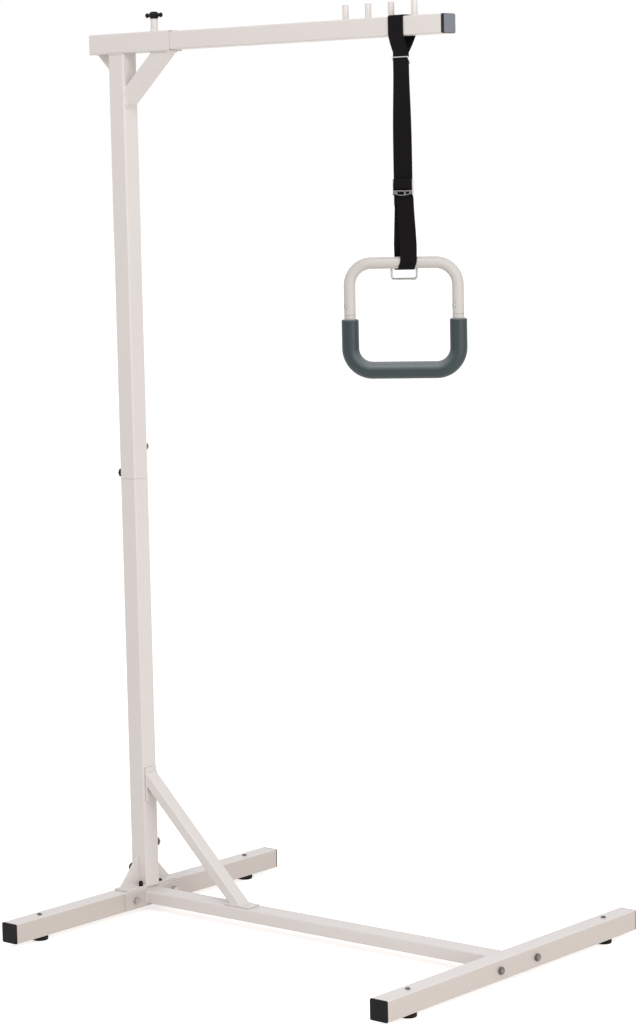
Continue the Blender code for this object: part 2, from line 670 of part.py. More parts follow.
def build_sleeve(looks, stand):
    cream, black, steel = looks["cream"], looks["plastic"], looks["steel"]
    sleeve = square_tube("arm_sleeve", "X", (0.0, ARM_Z), -SLEEVE_REAR, SLEEVE_FRONT, BAR, BAR_WALL, cream,
                         stand)
    boss = [
        (circle(BOSS_FOOT_RADIUS, 20), SLEEVE_TOP - OVERLAP),
        (circle(BOSS_FOOT_RADIUS, 20), SLEEVE_TOP + 0.0008),
        (circle(BOSS_RADIUS, 20), SLEEVE_TOP + 0.003),
        (circle(BOSS_RADIUS, 20), BOSS_TOP - 0.003),
        (circle(BOSS_RADIUS + 0.0008, 20), BOSS_TOP - 0.001),
        (circle(BOSS_RADIUS + 0.0003, 20), BOSS_TOP),
    ]
    weld(sleeve, stack("boss", "Z", (BOSS_X, 0.0), boss, cream, stand))
    drill(sleeve, "Z", (BOSS_X, 0.0), ARM_Z, BOSS_TOP + GAP, M10 + HOLE, cream, sides=16)

    frame = make_frame("locking_knob_axis", (COLUMN_X + BOSS_X, 0.0, BOSS_TOP))
    low = ARM_Z + ARM / 2 + GAP - BOSS_TOP
    sections = [
        (circle(0.7 * M10, 16), low),
        (circle(M10, 16), low + 0.0015),
        (circle(M10, 16), STUD_IN_KNOB),
    ]
    stack("clamp_screw", "Z", (0.0, 0.0), sections, steel, frame)
    bore, body, tall = M10 + HOLE, WING_KNOB_RADIUS, WING_KNOB_HEIGHT
    sections = [
        (circle(bore, 16), STUD_IN_KNOB + GAP),
        (circle(bore, 16), GAP),
        (circle(0.7 * body, 16), GAP),
        (circle(0.95 * body, 16), 0.25 * tall),
        (circle(body, 16), 0.48 * tall),
        (circle(0.85 * body, 16), 0.78 * tall),
        (circle(0.5 * body, 16), 0.95 * tall),
        (circle(0.15 * body, 16), GAP + tall),
    ]
    knob = stack("locking_knob", "Z", (0.0, 0.0), sections, black, frame)
    for way in (-1, 1):
        weld(knob, wing(way, 0.48 * tall, black, frame))


def build_arm(looks, arm):
    """In the arm's frame, whose X axis is the tube's own axis."""
    cream, black = looks["cream"], looks["plastic"]
    rod = square_tube("arm_tube", "X", (0.0, 0.0), -ARM_REAR, ARM_FRONT, ARM, ARM_WALL, cream, arm)
    for i in range(PEG_COUNT):
        top = ARM / 2 + PEG_HEIGHT
        peg = [(circle(PEG_RADIUS), ARM / 2 - OVERLAP), (circle(PEG_RADIUS), top - 0.0008),
               (circle(PEG_RADIUS - 0.0008), top)]
        weld(rod, stack(f"peg_{i + 1}", "Z", (PEG_FIRST + i * PEG_PITCH, 0.0), peg, cream, arm))
    tail = ARM - 2 * ARM_WALL - 2 * SLIP
    sections = [
        (rounded(tail - 0.003, tail - 0.003, CORNER - ARM_WALL), ARM_FRONT - CAP_TAIL),
        (rounded(tail, tail, CORNER - ARM_WALL), ARM_FRONT + GAP),
        (rounded(ARM, ARM, CORNER), ARM_FRONT + GAP),
        (rounded(ARM, ARM, CORNER), ARM_FRONT + 0.7 * ARM_CAP_LIP),
        (rounded(ARM - 0.003, ARM - 0.003, CORNER), ARM_FRONT + ARM_CAP_LIP),
    ]
    stack("arm_tip_cap", "X", (0.0, 0.0), sections, black, arm)


# Strap

def arm_loop_outlines():
    """The loop's outer and inner outlines in the YZ plane, with as many points each: round the arm, down
    to the neck where the plies meet, and along the flat stem below it."""
    half = ARM / 2 + GAP
    bend = CORNER + GAP
    slit = 0.0004
    outlines = []
    for radius, neck in ((bend + WEB, WEB), (bend, slit)):
        sides = []
        for hand in (1, -1):
            middle = hand * STRAP_Y
            lean = math.atan((half + WEB / 2 - middle) / NECK_DROP)
            side = []
            corner = half - bend
            for centre_z, angles in ((-corner, (-lean, -lean / 2, 0.0)),
                                     (corner, (0.0, math.pi / 4, math.pi / 2))):
                side += [(corner + radius * math.cos(a), centre_z + radius * math.sin(a)) for a in angles]
            y, z = side[0]
            meet = z - (y - middle - neck) / math.tan(lean)
            sides.append([(hand * y, z) for y, z in [(middle + neck, meet)] + side])
        right, left = sides
        stem = SWING_Z + WEB + GAP - ARM_Z if neck == WEB else min(right[0][1], left[0][1]) - slit
        outlines.append([(STRAP_Y - neck, stem), (STRAP_Y + neck, stem)] + right + left[::-1])
    return outlines


def twist_at(height):
    """The webbing's turn about the vertical: none where it bends under the arm, full below the twist."""
    share = min(max((SWING_Z - height) / TWIST_LENGTH, 0.0), 1.0)
    return TWIST * share * share * (3 - 2 * share)


def webbing(name, origin, stations, look, frame):
    """Doubled webbing in a frame at height origin; the stations are (drop below it, thickness)."""
    rings = []
    for drop, thickness in stations:
        turn = Matrix.Rotation(twist_at(origin - drop), 3, "Z")
        corners = rectangle((-WEB_WIDTH / 2, -thickness / 2), (WEB_WIDTH / 2, thickness / 2))
        rings.append([turn @ Vector((p, q, -drop)) for p, q in corners])
    piece(name, skin(rings), look, frame)


def build_strap(looks, arm):
    web, steel = looks["webbing"], looks["steel"]
    outer, inner = arm_loop_outlines()
    near, far = STRAP_X - WEB_WIDTH / 2, STRAP_X + WEB_WIDTH / 2
    tube("strap_arm_loop", "X", (0.0, 0.0), near, far, outer, inner, web, arm)

    beside = WEB + GAP + KEEPER_WIRE
    lean = math.asin(2 * beside / KEEPER_LENGTH)
    keeper = make_frame("keeper_place", (COLUMN_X + STRAP_X, STRAP_Y - beside, SWING_Z + KEEPER_RISE))
    width = WEB_WIDTH + 2 * GAP + 2 * KEEPER_WIRE
    wire_loop("strap_keeper_ring", width, KEEPER_LENGTH, KEEPER_CORNER, KEEPER_WIRE, lean, steel, keeper)

    axis = make_frame("strap_swing_axis", (COLUMN_X + STRAP_X, STRAP_Y, SWING_Z))
    bend = [math.radians(angle) for angle in (75, 50, 25)]
    stations = [(-WEB * math.sin(a), 2 * WEB * math.cos(a)) for a in bend]
    stations += [(drop, 2 * WEB) for drop in even_steps(0.0, UPPER_WEB, 6)]
    webbing("strap_upper_web", SWING_Z, stations, web, axis)

    axis = make_frame("strap_twist_axis", (COLUMN_X + STRAP_X, STRAP_Y, TWIST_Z))
    end = TWIST_Z - (HANDLE_Z + BUCKLE_LOW - TONGUE_END)
    turned = TWIST_LENGTH - UPPER_WEB
    stations = [(drop, 2 * WEB) for drop in even_steps(GAP, turned, 4) + even_steps(turned, end, 3)[1:]]
    webbing("strap_lower_web", TWIST_Z, stations, web, axis)


# Strap adjuster, in a frame at the middle of the handle's top bar whose X lies along that bar

def strap_place(behind, rise, along=0.0):
    """The world place of a point behind and above the handle's top bar, and along it from the strap."""
    across = STRAP_Y + behind * math.cos(TWIST) + along * math.sin(TWIST)
    ahead = STRAP_X - behind * math.sin(TWIST) + along * math.cos(TWIST)
    return (COLUMN_X + ahead, across, HANDLE_Z + rise)


def handle_loop_path():
    """The middle of the ply: its folded tail, over the adjuster's bar, down, round the handle and up."""
    top = BUCKLE_LOW + BUCKLE_TALL - BUCKLE_BAR_DROP - BUCKLE_BAR_HALF
    path = [(BUCKLE_BAR_V - FOLD, BUCKLE_LOW + TAIL_RISE)]
    for angle in even_steps(math.pi, 0.0, 6):
        path.append((BUCKLE_BAR_V + FOLD * math.cos(angle), top + FOLD * math.sin(angle)))
    path.append((-PLY, LOOP_SPREAD))
    radius = HANDLE_TUBE + GAP + WEB / 2
    reach = math.hypot(PLY, LOOP_SPREAD)
    start = math.atan2(LOOP_SPREAD, -PLY) + math.acos(radius / reach)
    for angle in even_steps(start, 3 * math.pi - start, 12):
        path.append((radius * math.cos(angle), radius * math.sin(angle)))
    path += [(PLY, LOOP_SPREAD), (PLY, BUCKLE_LOW + BUCKLE_TALL - 0.0013)]
    return path


def build_adjuster(looks):
    web, steel = looks["webbing"], looks["steel"]
    frame = make_frame("strap_length_axis", strap_place(0.0, 0.0), TWIST)
    half = WEB_WIDTH / 2
    loop = prism("strap_handle_loop", "X", band(handle_loop_path(), WEB), -half, half, web, frame)
    radius = HANDLE_TUBE + GAP + WEB
    notch = stack("wrap_notch", "X", (0.0, 0.0),
                  [(rectangle((-radius - GAP, -radius - GAP), (0.8 * HANDLE_TUBE, HANDLE_TUBE)), at)
                   for at in (-half - GAP, -half + WRAP_CUT)], web, frame)
    cut(loop, notch)
    eye = [(circle(EYE_OUTER, 16), -half), (circle(EYE_OUTER, 16), half - EYE_CUT)]
    weld(loop, stack("ring_eye", "X", (EYE_V, EYE_Z), eye, web, frame))
    drill(loop, "X", (EYE_V, EYE_Z), -half - GAP, half + GAP, EYE_BORE, web)

    inside = half + SIDE_GAP
    outside = inside + BUCKLE_SHEET
    back = PLY + WEB / 2 + GAP
    front = PIN_V - CHEEK_REACH
    low, top = BUCKLE_LOW, BUCKLE_LOW + BUCKLE_TALL
    plan = [(-outside, front), (-inside, front), (-inside, back), (inside, back), (inside, front),
            (outside, front), (outside, back + BUCKLE_SHEET), (-outside, back + BUCKLE_SHEET)]
    buckle = prism("buckle_frame", "Z", plan, low, top, steel, frame)
    bar = rounded(2 * BUCKLE_BAR_HALF, BUCKLE_BAR, 0.95 * BUCKLE_BAR_HALF)
    middle = (BUCKLE_BAR_V, top - BUCKLE_BAR_DROP - BUCKLE_BAR / 2)
    ends = [(bar, -inside - OVERLAP), (bar, inside + OVERLAP)]
    weld(buckle, stack("buckle_bar", "X", middle, ends, steel, frame))
    pin_at = (PIN_V, low + CAM_PIN_RISE)
    for way in (-1, 1):
        drill(buckle, "X", pin_at, way * (inside - GAP), way * (outside + GAP), CAM_PIN + HOLE / 2, steel)
    pin = circle(CAM_PIN)
    stack("cam_pin", "X", pin_at, [(pin, -outside - GAP), (pin, outside + GAP)], steel, frame)

    axis = make_frame("cam_lever_axis", strap_place(PIN_V, low + CAM_PIN_RISE), TWIST)
    reach = half - 2 * GAP
    hub = [(circle(CAM_HUB), -reach), (circle(CAM_HUB), reach)]
    lever = stack("cam_lever", "X", (0.0, 0.0), hub, steel, axis)
    face, tip = -1.5 * CAM_HUB, -CAM_PIN_RISE
    plate = [(-0.5 * CAM_HUB, 0.7 * CAM_HUB), (face, 0.2 * CAM_HUB), (face, tip), (face + LEVER_SHEET, tip),
             (face + LEVER_SHEET, -0.6 * CAM_HUB), (-0.5 * CAM_HUB, -0.7 * CAM_HUB)]
    weld(lever, prism("lever_plate", "X", plate, -reach, reach, steel, axis))
    rib = rectangle((face - LEVER_SHEET, 0.9 * tip), (face + LEVER_SHEET / 2, 0.1 * tip))
    weld(lever, prism("lever_rib", "X", rib, -LEVER_RIB, LEVER_RIB, steel, axis))
    drill(lever, "X", (0.0, 0.0), -half, half, CAM_PIN + HOLE, steel)

    axis = make_frame("ring_swing_axis", strap_place(EYE_V, EYE_Z, RING_SHIFT), TWIST)
    wire_loop("hanging_ring", RING_WIDTH, RING_HEIGHT, RING_CORNER, RING_WIRE, 0.0, steel, axis)


# Handle

def u_path(bar, legs, way):
    """Along a U of the handle: its bar's height, the heights down one leg from the open end, and which way
    the bar lies from the legs."""
    half = HANDLE_WIDTH / 2
    first = [(Vector((-half, 0.0, z)), Vector((0.0, 0.0, way))) for z in legs]
    bends = []
    for side, start, end in ((-1, math.pi, math.pi / 2), (1, math.pi / 2, 0.0)):
        for a in even_steps(start, end, 6):
            out = Vector((math.cos(a), 0.0, way * math.sin(a)))
            middle = Vector((side * (half - HANDLE_BEND), 0.0, bar - way * HANDLE_BEND))
            bends.append((middle + out * HANDLE_BEND, Vector((math.sin(a), 0.0, -way * math.cos(a)))))
    last = [(Vector((half, 0.0, z)), Vector((0.0, 0.0, -way))) for z in reversed(legs)]
    return first + bends + last


def hollow_sweep(path, outer, inner, sides=16):
    """A tube along a path: outer is a list of (radius, path index), inner a radius."""
    sections = [(circle(radius, sides), index) for radius, index in outer]
    sections += [(circle(inner, sides), index) for index in range(len(path) - 1, -1, -1)]
    rings = []
    across = Vector((0.0, 1.0, 0.0))
    for shape, index in sections:
        point, along = path[index]
        out = along.cross(across)
        rings.append([point + out * p + across * q for p, q in shape])
    return skin(rings, loop=True)


def build_handle(looks):
    cream, grip, steel = looks["cream"], looks["grip"], looks["steel"]
    frame = make_frame("handle_swing_axis", strap_place(0.0, 0.0, HANDLE_SHIFT), TWIST)
    bore = HANDLE_TUBE - HANDLE_WALL
    path = u_path(0.0, [-HANDLE_SEAM], 1)
    outer = [(HANDLE_TUBE, index) for index in range(len(path))]
    upper = piece("handle_upper_tube", hollow_sweep(path, outer, bore), cream, frame)

    spigot = bore - GAP
    path = u_path(-HANDLE_HEIGHT, [-HANDLE_SEAM + HANDLE_SPIGOT, -HANDLE_SEAM - GAP], -1)
    last = len(path) - 1
    outer = [(spigot, 0), (spigot, 1)] + [(HANDLE_TUBE, index) for index in range(1, last)]
    outer += [(spigot, last - 1), (spigot, last)]
    lower = piece("handle_lower_tube", hollow_sweep(path, outer, spigot - HANDLE_WALL), cream, frame)

    path = u_path(-HANDLE_HEIGHT, [-GRIP_START, -GRIP_START - GRIP_CHAMFER], -1)
    last = len(path) - 1
    outer = [(GRIP_RADIUS - GRIP_CHAMFER, 0)] + [(GRIP_RADIUS, index) for index in range(1, last)]
    outer += [(GRIP_RADIUS - GRIP_CHAMFER, last)]
    piece("handle_grip", hollow_sweep(path, outer, HANDLE_TUBE + GAP), grip, frame)

    height = -HANDLE_SEAM + HANDLE_SCREW
    for side, hand in (("left", -1), ("right", 1)):
        place = strap_place(0.0, height, HANDLE_SHIFT + hand * HANDLE_WIDTH / 2)
        axis = make_frame(f"handle_screw_{side}_axis", place, TWIST + HANDLE_SCREW_TURN)
        head, end = -HANDLE_TUBE - GAP, -0.55 * HANDLE_TUBE
        sections = [
            (circle(HANDLE_SCREW_SHANK), end),
            (circle(HANDLE_SCREW_SHANK), head),
            (circle(HANDLE_SCREW_HEAD), head),
            (circle(HANDLE_SCREW_HEAD), head - 0.0012),
            (circle(0.6 * HANDLE_SCREW_HEAD), head - 0.0022),
        ]
        stack(f"handle_screw_{side}", "X", (0.0, 0.0), sections, steel, axis)
        bore = circle(HANDLE_SCREW_SHANK + HOLE)
        for pipe in (upper, lower):
            bored = [(bore, head - GAP), (bore, end + GAP)]
            cut(pipe, stack(f"{pipe.name}_{side}_bore", "X", (0.0, 0.0), bored, cream, axis))


def main():
    clear_scene()
    looks = {
        "cream": make_look("cream_coat", (0.80, 0.755, 0.72), 0.45),
        "plastic": make_look("black_plastic", (0.025, 0.023, 0.025), 0.45),
        "rubber": make_look("black_rubber", (0.02, 0.02, 0.02), 0.8),
        "steel": make_look("zinc_steel", (0.62, 0.62, 0.60), 0.35, 1.0),
        "webbing": make_look("black_webbing", (0.02, 0.02, 0.022), 0.85),
        "grip": make_look("slate_grip", (0.08, 0.105, 0.11), 0.5),
    }
    stand = make_frame("stand", (COLUMN_X, 0.0, 0.0))
    arm = make_frame("arm_slide_axis", (COLUMN_X, 0.0, ARM_Z))
    build_base(looks, stand)
    build_column(looks, stand)
    build_braces(looks, stand)
    build_sleeve(looks, stand)
    build_arm(looks, arm)
    build_strap(looks, arm)
    build_adjuster(looks)
    build_handle(looks)


main()
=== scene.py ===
import json
import math

import bmesh
import bpy
from mathutils import Matrix, Vector

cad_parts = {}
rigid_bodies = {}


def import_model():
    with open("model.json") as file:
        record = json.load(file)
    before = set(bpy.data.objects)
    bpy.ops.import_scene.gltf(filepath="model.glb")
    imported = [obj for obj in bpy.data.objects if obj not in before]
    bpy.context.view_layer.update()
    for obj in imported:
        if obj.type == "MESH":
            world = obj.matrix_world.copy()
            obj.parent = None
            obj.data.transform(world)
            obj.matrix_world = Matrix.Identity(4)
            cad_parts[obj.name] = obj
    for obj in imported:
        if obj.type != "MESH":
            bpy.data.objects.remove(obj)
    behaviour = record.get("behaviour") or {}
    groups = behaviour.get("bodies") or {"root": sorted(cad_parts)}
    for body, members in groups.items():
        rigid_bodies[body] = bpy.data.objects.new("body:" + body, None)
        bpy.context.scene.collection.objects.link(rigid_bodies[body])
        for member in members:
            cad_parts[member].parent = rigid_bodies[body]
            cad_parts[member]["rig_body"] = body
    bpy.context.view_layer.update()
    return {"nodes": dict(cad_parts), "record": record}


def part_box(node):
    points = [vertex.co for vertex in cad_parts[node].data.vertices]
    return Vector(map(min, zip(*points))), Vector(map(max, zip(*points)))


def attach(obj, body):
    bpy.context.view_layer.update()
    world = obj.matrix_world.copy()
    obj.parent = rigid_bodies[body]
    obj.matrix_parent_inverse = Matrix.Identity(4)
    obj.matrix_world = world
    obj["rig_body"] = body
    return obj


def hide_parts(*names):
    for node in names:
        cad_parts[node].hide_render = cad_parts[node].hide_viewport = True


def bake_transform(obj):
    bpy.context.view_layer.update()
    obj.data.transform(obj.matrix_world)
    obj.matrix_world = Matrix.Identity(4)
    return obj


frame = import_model()

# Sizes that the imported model's boxes don't give
COLUMN_X = -0.44265      # the column's axis; the arm and base are measured from it
TUBE, ARM_TUBE = 0.04, 0.036      # sides of the square tubes
ARM_Z, BEAM_Z = 1.770, 0.03
BEAM_WIDTH, BEAM_HEIGHT = 0.048, 0.025
CROSSBAR_HALF, CROSSBAR_TOP = 0.392, 0.05
PLATE = 0.003            # of the column's and the brace's foot
UNDER_SLEEVE = 1.7497    # the upper end of the knee brace and of the rear gusset
FIRST_PEG, PEG_PITCH = 0.579, 0.0545      # the first one is measured from the column's axis
BAR_WALL = 0.0016
CORNER = 0.003
EDGE = 0.0004            # how far a cut edge is broken
GAP = 0.0003             # between pieces that lie on each other
HEX_M8, HEX_M6, HEX_FOOT = 0.013, 0.010, 0.0165
HEAD_M8, HEAD_M6 = 0.0058, 0.003
SHANK_M8, SHANK_M6 = 0.0039, 0.0029
PITCH_M8 = 0.00125
TWIST = math.radians(30.0)        # of the webbing between the arm and the handle
TWIST_LENGTH = 0.170
STRAP = Vector((COLUMN_X + 0.7126, -0.0046, 0.0))
WEB_WIDTH, WEB = 0.035, 0.0022
SWING_Z = 1.695          # where the strap swings, and where its twist starts
HANDLE_Z = 1.3342
UP = Vector((0.0, 0.0, 1.0))
ACROSS = Vector((0.0, 1.0, 0.0))
ALONG = Vector((math.cos(TWIST), math.sin(TWIST), 0.0))      # along the handle's bars
BEHIND = UP.cross(ALONG)                                     # square to them, away from the camera


# Outlines, as lists of points

def even_steps(start, end, count):
    return [start + (end - start) * i / count for i in range(count + 1)]


def on_circle(radius, angle, p=0.0, q=0.0):
    return p + radius * math.cos(angle), q + radius * math.sin(angle)


def circle(radius, sides=32):
    return [on_circle(radius, i * (math.tau / sides)) for i in range(sides)]


def hexagon(across_flats, trim=0.0):
    """Forty-eight points on a hexagon with a corner at 0 degrees. Its corners are cut to a circle."""
    points = []
    limit = across_flats / 2 / math.cos(math.pi / 6) * (1 - trim)
    for angle in even_steps(0.0, math.tau, 48)[:-1]:
        from_flat = angle % (math.pi / 3) - math.pi / 6
        reach = min(across_flats / 2 / math.cos(from_flat), limit)
        points.append(on_circle(reach, angle))
    return points


def rounded(width, height, radius, steps=6):
    points = []
    for quarter in range(4):
        sx = 1 if quarter in (0, 3) else -1
        sy = 1 if quarter in (0, 1) else -1
        for angle in even_steps(quarter * math.pi / 2, (quarter + 1) * math.pi / 2, steps):
            points.append(on_circle(radius, angle, sx * (width / 2 - radius), sy * (height / 2 - radius)))
    return points


def shrinking(width, height, radius, share=1.0):
    """A rounded rectangle for eased. Its radius shrinks by a share of the inset."""
    return lambda amount: rounded(width - 2 * amount, height - 2 * amount, radius - share * amount)


def rectangle(p_low, p_high, q_low, q_high):
    return [(p_low, q_low), (p_high, q_low), (p_high, q_high), (p_low, q_high)]


def inset(outline, amount):
    """The outline moved inwards by an even amount."""
    area = sum(a[0] * b[1] - b[0] * a[1] for a, b in zip(outline, outline[1:] + outline[:1]))
    way = 1.0 if area > 0 else -1.0
    moved = []
    for i, here in enumerate(outline):
        before, after = outline[i - 1], outline[(i + 1) % len(outline)]
        first = Vector((here[0] - before[0], here[1] - before[1])).normalized()
        second = Vector((after[0] - here[0], after[1] - here[1])).normalized()
        n1 = Vector((-first.y, first.x)) * way
        n2 = Vector((-second.y, second.x)) * way
        step = (n1 + n2) / max(1.0 + n1.dot(n2), 0.3) * amount
        moved.append((here[0] + step.x, here[1] + step.y))
    return moved


def eased(shape, lo, hi, edge=EDGE, steps=3):
    """Sections from lo to hi with rounded ends. shape(amount) is the outline inset by that amount."""
    way = 1.0 if hi > lo else -1.0
    turns = even_steps(0.0, math.pi / 2, steps)
    curve = [(shape(edge * (1 - math.sin(a))), way * edge * (1 - math.cos(a))) for a in turns]
    return [(ring, lo + run) for ring, run in curve] + [(ring, hi - run) for ring, run in curve[::-1]]


def at_point(axis, station, p, q):
    if axis == "X":
        return Vector((station, p, q))
    if axis == "Y":
        return Vector((p, station, q))
    return Vector((p, q, station))


# Meshes

class Form:
    """A mesh in the making, to which closed shells are added one by one."""

    def __init__(self, turn=None):
        self.bm = bmesh.new()
        self.uv = self.bm.loops.layers.uv.new("along")
        self.turn = turn or Matrix.Identity(4)

    def skin(self, rings, loop=False, coordinates=None):
        rows = [[self.bm.verts.new(self.turn @ point) for point in ring] for ring in rings]
        made = []
        spans = [(i, i + 1) for i in range(len(rows) - 1)]
        if loop:
            spans.append((len(rows) - 1, 0))
        else:
            made.append(self.bm.faces.new(rows[0]))
            made.append(self.bm.faces.new(rows[-1][::-1]))
        for a, b in spans:
            for i in range(len(rows[a])):
                j = (i + 1) % len(rows[a])
                face = self.bm.faces.new((rows[a][i], rows[a][j], rows[b][j], rows[b][i]))
                made.append(face)
                if coordinates:
                    places = (coordinates[a][i], coordinates[a][j], coordinates[b][j], coordinates[b][i])
                    for corner, place in zip(face.loops, places):
                        corner[self.uv].uv = place
        bmesh.ops.recalc_face_normals(self.bm, faces=made)

    def stack(self, axis, centre, sections, loop=False):
        """Through outlines at stations along an axis."""
        a, b = centre
        self.skin([[at_point(axis, at, a + p, b + q) for p, q in shape] for shape, at in sections], loop)

    def plate(self, axis, outline, lo, hi, edge=0.0005):
        self.stack(axis, (0.0, 0.0), eased(lambda amount: inset(outline, amount), lo, hi, edge))

    def bar(self, axis, centre, lo, hi, width, height, wall=BAR_WALL):
        """A rectangular tube with open ends."""
        outer = eased(shrinking(width, height, CORNER), lo, hi)
        inner = rounded(width - 2 * wall, height - 2 * wall, CORNER - wall)
        self.stack(axis, centre, outer + [(inner, hi), (inner, lo)], loop=True)

    def disc(self, axis, centre, lo, hi, radius, edge=0.0003, sides=32):
        self.stack(axis, centre, eased(lambda amount: circle(radius - amount, sides), lo, hi, edge))

    def lathe(self, axis, centre, profile, sides=32, base=0.0, way=1, loop=False):
        """Turned from points (radius, height); the heights count from a base, one way or the other."""
        self.stack(axis, centre, [(circle(radius, sides), base + way * at) for radius, at in profile], loop)

    def cable(self, points, radii, sides, loop=False):
        """A round bar through points in space, with a radius for each."""
        rings = []
        last = len(points) - 1
        across = None
        for i, point in enumerate(points):
            before = points[i - 1] if i or loop else point
            after = points[(i + 1) % len(points)] if i < last or loop else point
            along = (after - before).normalized()
            if across is None:
                across = along.cross(UP if abs(along.z) < 0.9 else Vector((1.0, 0.0, 0.0))).normalized()
            across = (across - along * across.dot(along)).normalized()
            other = along.cross(across)
            rings.append([point + across * p + other * q for p, q in circle(radii[i], sides)])
        self.skin(rings, loop)

    def bead_round(self, axis, centre, station, outline, radius, pitch=0.0022):
        """A weld bead round an outline on a face square to the axis."""
        a, b = centre
        self.bead([at_point(axis, station, a + p, b + q) for p, q in outline], radius, True, pitch)

    def bead(self, corners, radius, closed=False, pitch=0.0022):
        """A weld bead with its ripples, along straight runs between corners."""
        corners = [Vector(corner) for corner in corners]
        if closed:
            corners.append(corners[0])
        points = []
        for a, b in zip(corners, corners[1:]):
            count = max(int((b - a).length / 0.00055), 2)
            points += [a.lerp(b, i / count) for i in range(count)]
        if not closed:
            points.append(corners[-1])
        for _ in range(3):
            softer = [(points[i - 1] + point * 2 + points[(i + 1) % len(points)]) / 4
                      for i, point in enumerate(points)]
            if not closed:
                softer[0], softer[-1] = points[0], points[-1]
            points = softer
        radii, run = [], 0.0
        for i, point in enumerate(points):
            run += (point - points[i - 1]).length if i else 0.0
            ripple = abs(math.sin(math.pi * run / pitch + 0.6 * math.sin(run * 410.0)))
            radii.append(radius * (0.82 + 0.22 * ripple + 0.05 * math.sin(run * 690.0 + 1.3)))
        if not closed:
            radii[0] = radii[-1] = radius * 0.35
        self.cable(points, radii, sides=10, loop=closed)

    def strip(self, stations, width, thickness, start=0.0, trim=None):
        """Webbing with rounded edges. A station is its middle, its side direction and its face direction.
        trim(middle) is how much narrower the strip is there, on its left."""
        outline = rounded(width, thickness, thickness * 0.42, 3)
        rings, coordinates, run = [], [], start
        for i, (point, side, face) in enumerate(stations):
            run += (point - stations[i - 1][0]).length if i else 0.0
            less = trim(point) if trim else 0.0
            shape = [(p + less * (0.5 - p / width), q) for p, q in outline]
            rings.append([point + side * p + face * q for p, q in shape])
            coordinates.append([(p + (0.25 if q < 0 else 0.0), run) for p, q in shape])
        self.skin(rings, coordinates=coordinates)


def add_object(name, data):
    obj = bpy.data.objects.new(name, data)
    bpy.context.scene.collection.objects.link(obj)
    return obj


def finish_mesh(name, form, look):
    mesh = bpy.data.meshes.new(name)
    form.bm.to_mesh(mesh)
    form.bm.free()
    mesh.shade_smooth()
    mesh.set_sharp_from_angle(angle=math.radians(40.0))
    mesh.materials.append(look)
    obj = add_object(name, mesh)
    even = obj.modifiers.new("even_shading", "WEIGHTED_NORMAL")
    even.keep_sharp = True
    return obj


SLOTS = {row["node"]: row["material_slot"] for row in frame["record"]["subparts"]}


def show(node, form, look=None):
    """The form is shown in place of a CAD node, and moves with that node's body."""
    obj = finish_mesh(f"{node}_shape", form, look or LOOKS[SLOTS[node]])
    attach(obj, frame["nodes"][node]["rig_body"])
    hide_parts(node)


# Materials

class Look:
    """The node tree of a material or world, with short ways to add, feed and join nodes."""

    def __init__(self, owner, shader="Principled BSDF"):
        owner.use_nodes = True
        self.owner = owner
        self.tree = owner.node_tree
        self.shader = self.tree.nodes[shader]

    def feed(self, node, socket, value):
        """Give a node's input a value, or join it to another node's output."""
        if isinstance(value, bpy.types.NodeSocket):
            self.tree.links.new(value, node.inputs[socket])
        else:
            node.inputs[socket].default_value = value

    def shade(self, socket, value):
        self.feed(self.shader, socket, value)

    def add(self, kind, **values):
        node = self.tree.nodes.new(kind)
        for name, value in values.items():
            setattr(node, name, value)
        return node

    def place(self, output="Object"):
        return self.add("ShaderNodeTexCoord").outputs[output]

    def noise(self, vector, scale, detail=3.0, rough=0.5):
        node = self.add("ShaderNodeTexNoise")
        self.feed(node, "Scale", scale)
        self.feed(node, "Detail", detail)
        self.feed(node, "Roughness", rough)
        self.feed(node, "Vector", vector)
        return node.outputs["Fac"]

    def math(self, operation, *values):
        node = self.add("ShaderNodeMath", operation=operation)
        for i, value in enumerate(values):
            self.feed(node, i, value)
        return node.outputs["Value"]

    def ramp(self, factor, stops):
        node = self.add("ShaderNodeValToRGB")
        points = node.color_ramp.elements
        while len(points) < len(stops):
            points.new(0.5)
        for point, (at, colour) in zip(points, stops):
            point.position = at
            point.color = (*colour, 1.0)
        self.feed(node, "Fac", factor)
        return node.outputs["Color"]

    def bump(self, height, strength, distance):
        node = self.add("ShaderNodeBump")
        self.feed(node, "Strength", strength)
        self.feed(node, "Distance", distance)
        self.feed(node, "Height", height)
        self.shade("Normal", node.outputs["Normal"])


def new_look(name, roughness, metallic=0.0):
    look = Look(bpy.data.materials.new(name))
    look.shade("Roughness", roughness)
    look.shade("Metallic", metallic)
    return look


def tinted(colour, share):
    return tuple(min(channel * share, 1.0) for channel in colour)


